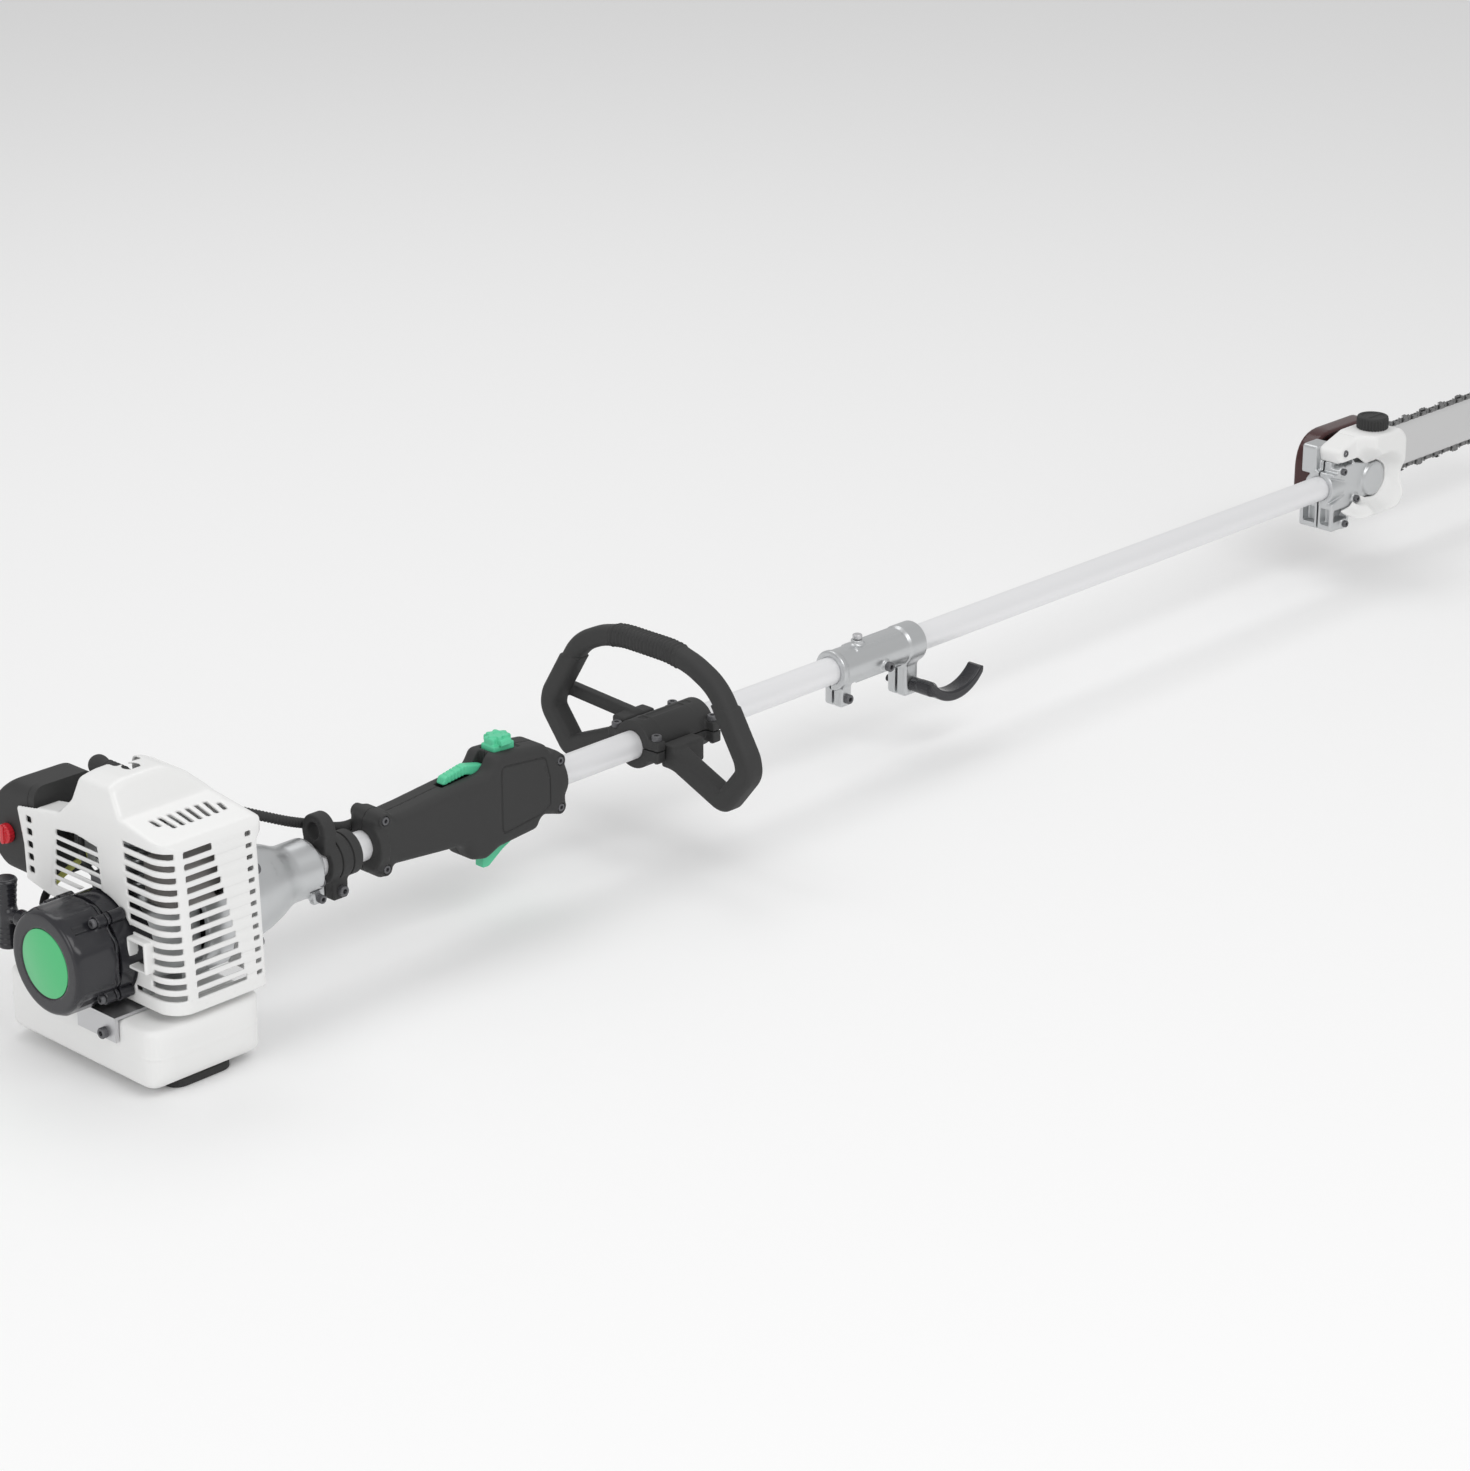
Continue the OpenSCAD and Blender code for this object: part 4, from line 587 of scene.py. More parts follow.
def grip_and_leads():
    s = Space((-97, 52, -9), (-75, 79, 54), 0.55)
    flare = 2.4 * (np.abs(s.z - 23) / 31) ** 2.2
    grooves = 0.35 * np.clip(np.cos(s.z * 1.35), 0, 1) * (np.abs(s.z - 22) > 9)
    bar = np.sqrt((s.x + 86) ** 2 + (s.y - 68) ** 2) - 8.2 - flare - grooves
    grip = meet(bar, np.maximum(-9 - s.z, s.z - 54), 3.0)
    neck = np.sqrt((s.x + 86) ** 2 + (s.z - 22) ** 2) - (7.0 - 0.12 * (68 - s.y))
    grip = join(grip, meet(neck, np.maximum(52 - s.y, s.y - 68), 1.5), 3.5)
    grip = cut(grip, s.rod("y", 50, 57, 2.3, -86, 22), 0.5)
    add_skin("pull_grip", s, grip, "starter_grip", adaptivity=0.0, smooth_angle=70)
    # the rope: a three-strand twist from the reel to the grip, and one turn on the reel
    line = [Vector((-86, y, 22)) for y in np.arange(0, 57, 0.6)]
    parts = [swept(line, [1.7] * len(line), 12, twist=0.55, lobes=3, depth=0.13)]
    turn = [Vector((-86, 22 * math.sin(a), 22 * math.cos(a))) for a in np.linspace(0.02, -1.92 * math.pi,
            150)]
    parts.append(swept(turn, [1.7] * len(turn), 10, twist=0.5, lobes=3, depth=0.13))
    rope = add_piece("pull_rope", *gather(parts), ("starter_rope",))
    # throttle conduit with its corrugations
    route = [(52, 40, 92), (70, 39, 88), (95, 35, 79), (125, 29, 65), (155, 24, 51), (185, 22, 37),
             (210, 21.5, 27),
             (232, 20, 18), (246, 19, 14.5), (258, 19, 14)]
    line = smooth_line(route, 34)
    radii = [4.25 + 0.7 * max(-0.4, min(0.8, math.sin(i * 1.55))) for i in range(len(line))]
    add_piece("throttle_sleeve", *swept(line, radii, 20), ("throttle_conduit",))
    route = [(-22, 93, -49.5), (-26, 93, -30), (-33, 92, -8), (-32, 88, 14), (-22, 80, 30), (-9, 70, 44),
             (4, 62, 54.5)]
    line = smooth_line(route, 10)
    add_piece("fuel_hose_run", *swept(line, [2.9] * len(line), 16), ("fuel_line",))
    sleeve = [p for p in line if 4 < p.z < 26]
    add_detail("fuel_hose_sleeve", *swept(sleeve, [3.6] * len(sleeve), 16), "fuel_line", RUBBER)
    route = [(-31, 14.2, 55), (-31, 22, 57), (-30, 32, 65), (-26, 39, 80), (-16, 42, 92), (-7, 47, 105),
             (-6, 52, 118), (-1, 54, 127)]
    line = smooth_line(route, 8)
    add_piece("ignition_lead", *swept(line, [2.9] * len(line), 14), ("ht_lead",))
    s = Space((-2, -9, 113), (18, 64, 143), 0.6)
    boot = s.rod("z", 114, 138, 8.3, 8, 0, 2)
    boot = join(boot, s.rod("y", 0, 56, 7.2, 8, 133, 1), 3)
    boot = join(boot, np.sqrt((s.x - 8) ** 2 + (s.y - 54) ** 2 + (s.z - 133) ** 2) - 9.2, 3)
    for y in (20, 25, 30, 35, 40):
        boot = join(boot, s.rod("y", y, y + 2, 8.2, 8, 133, 0.8), 0.8)
    boot = cut(boot, s.rod("z", 100, 128, 5.2, 8, 0), 0.4)
    add_skin("plug_cap", s, boot, "plug_boot", adaptivity=0.0, smooth_angle=70)


# ---- shaft ---------------------------------------------------------------------------------

def clutch_casting():
    s = Space((37, -56, -56), (192, 56, 56), 0.9)
    profile = [(37, -9), (37, 48), (72, 48), (96, 46.0), (122, 40.5), (138, 35), (150, 29.4), (158, 27),
               (184, 27), (185.5, 25),
               (185.5, 19.5), (192, 19), (192, -9)]
    body = s.turned(rounded(profile, [0, 2, 12, 8, 8, 8, 8, 4, 2, 2, 1, 1.5, 0], 4))
    for u, v in CASE_SCREWS:
        body = join(body, s.rod("x", 37, 98, 7, u, v, 1.0), 5.0)
    body = join(body, s.box((176, -20, -30), (190, -12, -3), 3.0), 3.0)
    body = cut(body, s.rod("x", 20, 74, 42), 0.8)
    body = cut(body, s.rod("x", 60, 120, 14), 0.5)
    body = cut(body, s.rod("x", 110, 200, TUBE_R), 0.4)
    for u, v in CASE_SCREWS:
        body = cut(body, s.rod("x", 30, 99, 2.6, u, v), 0.3)
        body = cut(body, s.rod("x", 98, 130, 5.4, u, v), 0.8)
    body = cut(body, s.box((170, -30, -14.2), (193, -11, -13.2)), 0.2)
    add_skin("clutch_casting", s, body, "clutch_housing", smooth_angle=70)


def hanger():
    s = Space((195, -22, -38), (236, 22, 48), 0.6)
    body = s.rod("x", 199, 235, 20.9, edge=1.5)
    body = join(body, s.rod("x", 195, 209, 15.4, 0, 31, 2.0), 2.0)
    body = join(body, s.box((195, -15, 10), (209, 15, 31), 2.0), 2.5)
    body = join(body, s.box((205, -13, -37), (223, 13, -12), 3.0), 3.0)
    for x in (211, 224):
        ring = np.maximum(np.abs(s.x - x) - 0.9, 19.2 - np.sqrt(s.y ** 2 + s.z ** 2))
        body = cut(body, np.where(s.z > -14, ring, 9), 0.4)
    body = cut(body, s.rod("x", 180, 212, 8, 0, 31), 1.4)
    body = cut(body, s.rod("x", 180, 250, TUBE_R), 0.6)
    body = cut(body, s.box((180, -1.4, -50), (250, 1.4, -10)), 0.4)
    add_skin("harness_clamp", s, body, "hanger_clamp", adaptivity=0.01)


def tubes():
    parts = []
    for name, x0, x1, node in (("engine_side_tube", 122, 898, "rear_tube"),
                               ("saw_side_tube", 900, 1736, "front_tube")):
        length = x1 - x0
        outer = [(0.5, 13.0), (0.15, 13.6), (0.6, 13.95)] + [(length * k / 24, 13.98) for k in range(1, 24)]
        outer += [(length - 0.6, 13.95), (length - 0.15, 13.6), (length - 0.4, 13.0), (length - 2, 12.4),
                  (2, 12.4)]
        segments = 96
        points, faces = [], []
        for x, r in outer:
            for k in range(segments):
                a = 2 * math.pi * k / segments
                points.append((x0 + x, r * math.cos(a), r * math.sin(a)))
        n = len(outer)
        for i in range(n):
            for k in range(segments):
                a, b = i * segments + k, i * segments + (k + 1) % segments
                c, d = ((i + 1) % n) * segments + (k + 1) % segments, ((i + 1) % n) * segments + k
                faces.append((a, b, c, d))
        add_piece(name, points, faces, (node,), smooth_angle=50)


# ---- controls ------------------------------------------------------------------------------

def controls():
    profile = rounded([(250, -20), (252, 26), (258, 32), (270, 32), (277, 25), (300, 26.5), (346, 31),
                       (388, 34), (398, 49), (426, 47),
                       (462, 42), (471, 31), (479, 31), (487, 22), (487, -27), (480, -34), (470, -31),
                       (456, -27), (449, -39),
                       (401, -43), (385, -50), (369, -47), (359, -30), (300, -24.5), (274, -22),
                       (270, -30), (258, -30)],
                      [4, 4, 5, 5, 8, 10, 20, 12, 8, 20, 8, 5, 6, 5, 5, 6, 5, 8, 8, 12, 8, 8, 12, 20, 6, 5,
                       5], 4)
    s = Space((250, -26, -50), (487, 26, 49), 0.85)
    half_width = 19.2 + 2.6 * np.clip((s.x - 350) / 40, 0, 1) + 1.2 * np.clip((275 - s.x) / 8, 0, 1)
    body = meet(polygon(s.x, s.z, profile), np.abs(s.y) - half_width, 9.0)
    body = join(body, s.rod("x", 252, 264, 25.2, edge=2.0), 2.5)
    # round front end, screw bosses, and the groove round the switch panel
    body = join(body, s.rod("x", 476, 487, 22.5, edge=2.0), 2.0)
    for u, v in HANDLE_SCREWS[2:] + HANDLE_SCREWS[:2]:
        body = join(body, s.rod("y", -20.4, 20.4, 6.6, u, v, 1.0), 1.5)
    panel = s.side(rounded([(402, 12), (402, 38), (458, 32), (464, 10), (464, -18), (452, -24),
                            (402, -30)], 6), -30, 30, 0.3)
    body = cut(body, np.maximum(panel, -(panel + 1.3)) + np.where(np.abs(s.y) > half_width - 1.1, 0, 9), 0.3)
    body = cut(body, s.rod("x", 240, 500, TUBE_R + 0.05), 0.5)
    body = cut(body, s.box((378, -6.0, -80), (456, 6.0, -12), 1.0), 0.8)
    body = cut(body, s.box((343, -5.6, 12), (401, 5.6, 70), 1.0), 0.8)
    body = cut(body, s.box((404, -9.6, 44), (438, 9.6, 70), 1.5), 0.8)
    body = cut(body, s.rod("x", 240, 266, 5.5, 19, 14), 0.4)
    for u, v in HANDLE_SCREWS:
        body = cut(body, s.rod("y", -40, -17, 4.4, u, v), 0.6)
        body = cut(body, s.rod("y", 17, 40, 3.6, u, v), 0.6)
    for name, side, node in (("handle_shell_left", 1, "handle_left"),
                             ("handle_shell_right", -1, "handle_right")):
        half = meet(body, 0.22 - side * s.y, 0.5)
        add_skin(name, s, half, node, smooth_angle=70)
    s = Space((390, -6, -66), (451, 6, -20), 0.5)
    paddle = s.side(rounded([(450, -31), (444, -22), (425, -23), (405, -28), (393, -33.5), (391, -64.5),
                             (399, -65), (417, -53), (443, -41)],
                            [3, 3, 8, 6, 3, 2, 4, 12, 5]), -5.5, 5.5, 1.6)
    paddle = cut(paddle, s.rod("y", -10, 10, 2.55, 445, -27), 0.3)
    for k in range(5):
        groove = meet(np.abs(s.x - 405 - k * 6 + (s.z + 60) * 0.3) - 0.5, np.abs(s.y) - 3.6, 0.2)
        paddle = cut(paddle, groove + np.where(paddle > -0.7, 0, 9), 0)
    add_skin("throttle_paddle", s, paddle, "trigger", adaptivity=0.0)
    s = Space((345, -5, 24), (399, 5, 43), 0.5)
    lever = s.side(rounded([(398, 27), (398, 37), (374, 43), (348, 38), (345, 31), (350, 31), (374, 34),
                            (392, 26)],
                           [2, 3, 10, 3, 2, 2, 8, 2]), -5, 5, 1.4)
    lever = join(lever, s.rod("y", -5, 5, 4.9, 394, 29, 0.8), 0.8)
    for k in range(6):
        lever = cut(lever, s.box((352 + 4 * k, -6, 30), (353 + 4 * k, 6, 60))
                    + np.where(lever > -0.6, 0, 9), 0.1)
    add_skin("safety_paddle", s, lever, "safety_lever", adaptivity=0.0)
    s = Space((405, -13, 45), (431, 13, 61), 0.45)
    slider = s.box((405, -8.9, 45), (431, 8.9, 53), 1.5)
    slider = join(slider, s.box((411.5, -12.8, 52), (424.5, 12.8, 58.5), 1.6), 1.0)
    slider = join(slider, s.box((406, -6.5, 52), (430, 6.5, 59.5), 2.0), 1.0)
    angle = np.arctan2(s.y, s.x - 418)
    radius = np.sqrt(s.y ** 2 + (s.x - 418) ** 2)
    slider = join(slider, meet(radius - (9.4 + 1.6 * np.cos(6 * angle)), np.abs(s.z - 57) - 4, 1.0), 0.8)
    slider = cut(slider, s.rod("z", 60.2, 70, 4, 418, 0), 0.4)
    add_skin("stop_slider", s, slider, "stop_switch", adaptivity=0.0)


# ---- loop handle ---------------------------------------------------------------------------

def loop():
    side = [(38, -8), (98, -33), (106, -34), (133, 0), (130, 14), (92, 76), (62, 90), (34, 97)]
    corners = [0, 10, 10, 16, 22, 60, 70, 90]
    route = side + [(-y, z) for y, z in side[::-1]]
    arcs = rounded(route, corners + corners[::-1], 7)
    route = [route[0]] + arcs[1:-1] + [route[-1]]
    s = Space((604, -144.5, -46), (650, 144.5, 110), 0.95)
    flat = line_gap(s.y, s.z, route) - 10.95
    wave = np.clip(np.cos(s.y * 2 * math.pi / 4.7) * 1.4, -0.2, 1)
    ribs = np.where(np.abs(s.y) < 47, 0.9 * wave * np.clip((47 - np.abs(s.y)) / 2, 0, 1), 0)
    ribs = np.where(s.z > 60, ribs, 0)
    body = meet(flat + 0.9 - ribs * 0.99, np.abs(s.x - 615) - 10.95 + 0.9 - ribs * 0.99, 7.5)
    body = np.where(s.z > 60, body, meet(flat, np.abs(s.x - 615) - 10.95, 6.0))
    for way in (-1, 1):
        channel = [(way * y, z) for y, z in ((45, -12), (98, -34), (106, -35), (131, -2))]
        body = cut(body, meet(line_gap(s.y, s.z, channel) - 6.5, 622 - s.x, 1.0), 0.8)
    body = join(body, meet(line_gap(s.y, s.z, [(119, 17), (32, 12)]) - 6.4, np.abs(s.x - 628) - 6, 3.0), 2.0)
    body = join(body, s.box((606, 24.6, -20), (648, 42, 16), 2.5), 2.0)
    body = join(body, s.box((606, -42, -20), (648, -24.6, 4), 2.5), 2.0)
    body = cut(body, s.rod("x", 590, 690, 24.5), 0.5)
    add_skin("loop_bar", s, body, "loop_handle", smooth_angle=70)
    for name, up, node in (("clamp_saddle", -1, "loop_clamp_base"), ("clamp_cap", 1, "loop_clamp_cap")):
        s = Space((592, -34, -24), (681, 34, 24), 0.7)
        body = s.rod("x", 592, 681, 24, edge=2.0)
        for x in CLAMP_LUGS:
            body = join(body, s.box((x - 5.5, -34, -12), (x + 5.5, 34, 10), 2.0), 2.0)
        if up > 0:
            body = cut(body, s.box((603, -4, 22.6), (669, 4, 30), 1), 0.8)
            for x in (612, 660):
                body = join(body, meet(np.abs(s.x - x) - 1.2, np.sqrt(s.y ** 2 + s.z ** 2) - 24, 0.5), 0.8)
        body = cut(body, s.rod("x", 580, 700, TUBE_R), 0.6)
        body = meet(body, 0.55 - up * s.z, 0.4)
        for x in CLAMP_LUGS:
            for y in (27, -27):
                body = cut(body, s.rod("z", -40, 40, 2.7, x, y), 0.3)
        add_skin(name, s, body, node)


# ---- coupler -------------------------------------------------------------------------------

def coupler():
    s = Space((872, -23, -54), (996, 22, 24), 0.7)
    body = s.rod("x", 872, 996, 19.4, edge=1.5)
    body = join(body, s.rod("x", 972, 996, 21.4, edge=2.0), 2.0)
    body = join(body, s.rod("x", 872, 878, 20.6, edge=1.5), 1.5)
    body = join(body, s.box((876, -12, -39), (892, 12, -10), 3.5), 3.0)
    body = join(body, s.box((972, -13, -53), (992, 13, -10), 4.0), 3.0)
    body = join(body, s.rod("z", 10, 23.4, 6.8, 912, 0, 1.2), 2.5)
    body = join(body, s.rod("y", -22.4, 0, 5.9, 934, -6, 1.0), 2.0)
    for a in (60, 120, 240, 300):
        u, v = 19.4 * math.cos(math.radians(a)), 19.4 * math.sin(math.radians(a))
        body = join(body, meet(s.rod("x", 900, 968, 1.6, u, v, 1.0), np.sqrt(s.y ** 2 + s.z ** 2) - 20.6,
                               0.4), 1.2)
    body = cut(body, s.rod("x", 860, 1010, TUBE_R + 0.04), 0.5)
    body = cut(body, s.box((860, -1.3, -70), (896, 1.3, 0)), 0.5)
    body = cut(body, s.box((962, -1.3, -70), (1010, 1.3, 0)), 0.5)
    body = cut(body, s.rod("y", -30, 30, 2.7, 884, -30), 0.3)
    body = cut(body, s.rod("y", -30, 30, 4.1, 982, -42), 0.3)
    body = cut(body, s.rod("z", 0, 40, 3.1, 912, 0), 0.4)
    body = cut(body, s.rod("y", -40, -16, 2.7, 934, -6), 0.4)
    add_skin("coupler_casting", s, body, "coupler_body", adaptivity=0.01)
    s = Space((974, -44, -64), (1057, 20, -33), 0.6)
    outside = np.sqrt((s.x - 1018) ** 2 + (s.z + 8) ** 2) - 52
    inside = np.sqrt((s.x - 1018) ** 2 + (s.z + 1) ** 2) - 48
    wing = meet(outside, -inside, 2.0)
    wing = meet(wing, np.abs(s.y + 34.5) - 9.5, 2.5)
    wing = np.maximum(wing, np.maximum(976 - s.x, np.maximum(s.z + 33, -64 - s.z)))
    hub = s.rod("y", -40, -13.4, 7.5, 983, -40.5, 1.5)
    hub = join(hub, wing, 4.0)
    hub = join(hub, s.rod("y", -14, 20, 3.98, 982, -42, 0.4), 0.4)
    add_skin("coupler_wing", s, hub, "coupler_knob", adaptivity=0.0)
    profile = [(0, 0.01), (0, 2.6), (0.4, 3.0), (12.8, 3.0), (12.8, 4.6), (13.4, 5.0), (16.6, 5.0),
               (17.4, 4.2), (17.4, 0.01)]
    add_piece("spring_pin", *turned_solid(profile, "z", (912, 0, 11.4), 40), ("locating_pin",),
              smooth_angle=35)


# ---- saw head ------------------------------------------------------------------------------

def saw_head():
    hx = HEAD_X
    s = Space((1700, -24, -49), (1842, 27, 49), 0.7)
    body = s.rod("x", 1700, 1746, 20, edge=1.5)
    body = join(body, s.rod("y", -24, 27, 20.5, hx, 0, 3.5), 2.0)
    body = join(body, s.rod("x", 1738, 1776, 17.8, edge=1.0), 3.0)
    web = s.side(rounded([(1700, 16), (1700, 49), (1728, 49), (1740, 27), (1772, 20), (1772, -20),
                          (1740, -24), (1732, -49),
                          (1700, -49), (1700, -16), (1724, -8), (1724, 8)],
                          [3, 4, 6, 8, 3, 3, 8, 4, 4, 3, 2, 2]), -20, 25, 1.6)
    pocket = s.side(rounded([(1705, 24), (1705, 36), (1733, 36), (1738, 26)], 2), -30, -10, 0.5)
    web = cut(web, pocket, 1.0)
    pocket = s.side(rounded([(1705, -24), (1705, -38), (1730, -38), (1735, -26)], 2), -30, -10, 0.5)
    web = cut(web, pocket, 1.0)
    body = join(body, web, 2.0)
    body = join(body, s.box((1766, 22, -24), (1842, 27, 24), 1.5), 2.0)
    body = cut(body, s.box((1690, -40, 31), (1760, 5, 60), 2.0), 2.0)
    body = cut(body, s.box((1690, -40, 20), (1708, 5, 60), 2.0), 2.0)
    body = cut(body, s.box((1690, -16, -42), (1711, -4, -23), 2.0), 1.0)
    body = cut(body, s.box((1690, 4, -42), (1711, 20, -23), 2.0), 1.0)
    for x, z in HEAD_BOSSES:
        body = join(body, s.rod("y", -21.5, 25, 6.2, x, z, 1.0), 1.5)
    body = cut(body, s.rod("x", 1690, 1736, TUBE_R), 0.9)
    body = cut(body, s.box((1690, -1, 0), (1734, 1, 60)), 0.4)
    body = cut(body, s.box((1690, -1, -60), (1734, 1, 0)), 0.4)
    body = cut(body, s.rod("y", 16, 40, 10, hx, 0), 0.6)
    for x in STUDS:
        body = cut(body, s.rod("y", 10, 40, 3.1, x, 0), 0.3)
    add_skin("gear_casting", s, body, "gear_case")

    x0, x1, low, high = hx - 76, hx + 34, -36, 60
    s = Space((x0, -44, low), (x1, 8, high + 8), 0.7)
    outline = rounded([(x0 + 12, low + 10), (x0 + 30, low), (x1 - 10, low), (x1, low + 12),
                       (x1, high - 12), (x1 - 12, high),
                       (x0 + 46, high), (x0 + 4, 47), (x0 + 10, 29)], [8, 8, 14, 12, 14, 14, 14, 6, 5], 6)
    # the front wall opens round the gear case's nose and swells away from that opening
    opening = rounded([(x0 - 20, -30), (x0 - 20, 33), (hx - 34, 33), (hx - 18, 22), (hx + 4, 22.5),
                       (hx + 21, 12),
                       (hx + 22, -8), (hx + 6, -22), (hx - 14, -20), (hx - 30, -13), (hx - 44, -24)],
                      [2, 2, 10, 8, 14, 12, 12, 12, 6, 8, 8])
    gap = polygon(s.x, s.z, opening)
    rise = ease(gap / 16)
    thin = ease((x0 + 50 - s.x) / 14) * ease((s.z - 22) / 10)
    front = -23.5 - 20.5 * rise * (1 - thin)
    steep = np.sqrt(1 + (7.7 * rise * (1 - rise)) ** 2)
    body = meet(polygon(s.x, s.z, outline), np.maximum((front - s.y) / steep, s.y - 8), 5.0)
    recess = s.rod("y", -24.4, 40, 20.9, hx, 0, 1.0)
    recess = join(recess, s.box((x0 - 10, -20.4, -30.4), (hx, 40, 30.4), 1.0), 3.0)
    recess = join(recess, s.box((x0 - 10, -20.4, -60), (hx - 36, 40, 60), 1.0), 2.0)
    recess = join(recess, s.rod("x", 1690, hx - 28, 20.4), 1.0)
    recess = cut(recess, s.box((x0 - 10, -30, 31), (x0 + 40, 20, 70), 1.0), 0)
    for x, z in HEAD_BOSSES:
        recess = join(recess, s.rod("y", -60, 30, 6.2, x, z), 1.0)
    body = cut(body, recess, 1.5)
    body = cut(body, np.maximum(gap, s.y + 18), 0.6)
    body = join(body, s.rod("z", high - 4, high + 7, 14.4, hx - 2, -18, 0.6), 3.0)
    shell = np.maximum(body, -(body + 2.4))
    add_skin("oil_tank_shell", s, shell, "oil_tank")

    s = Space((hx - 54, 27, -46), (hx + 66, 52, 50), 0.7)
    outline = rounded([(hx - 54, -46), (hx + 66, -46), (hx + 66, 50), (hx - 54, 50)], [24, 14, 14, 38], 8)
    body = meet(polygon(s.x, s.z, outline), np.maximum(28 - s.y, s.y - 52), 4.0)
    inner = meet(polygon(s.x, s.z, outline) + 3, s.y - 49, 2.0)
    inner = np.minimum(inner, np.maximum(s.box((hx + 20, 20, -42), (hx + 90, 49, 45), 2), -9))
    body = np.maximum(body, -inner)
    body = cut(body, s.box((hx + 40, 20, -39), (hx + 90, 40, 39), 1), 0.4)
    rib = meet(np.abs(polygon(s.x, s.z, outline) + 14) - 1.0, 50.6 - s.y, 0.2)
    body = cut(body, rib, 0.4)
    for x in STUDS:
        body = cut(body, s.rod("y", 10, 80, 3.2, x, 0), 0.4)
    add_skin("bar_guard", s, body, "bar_cover")


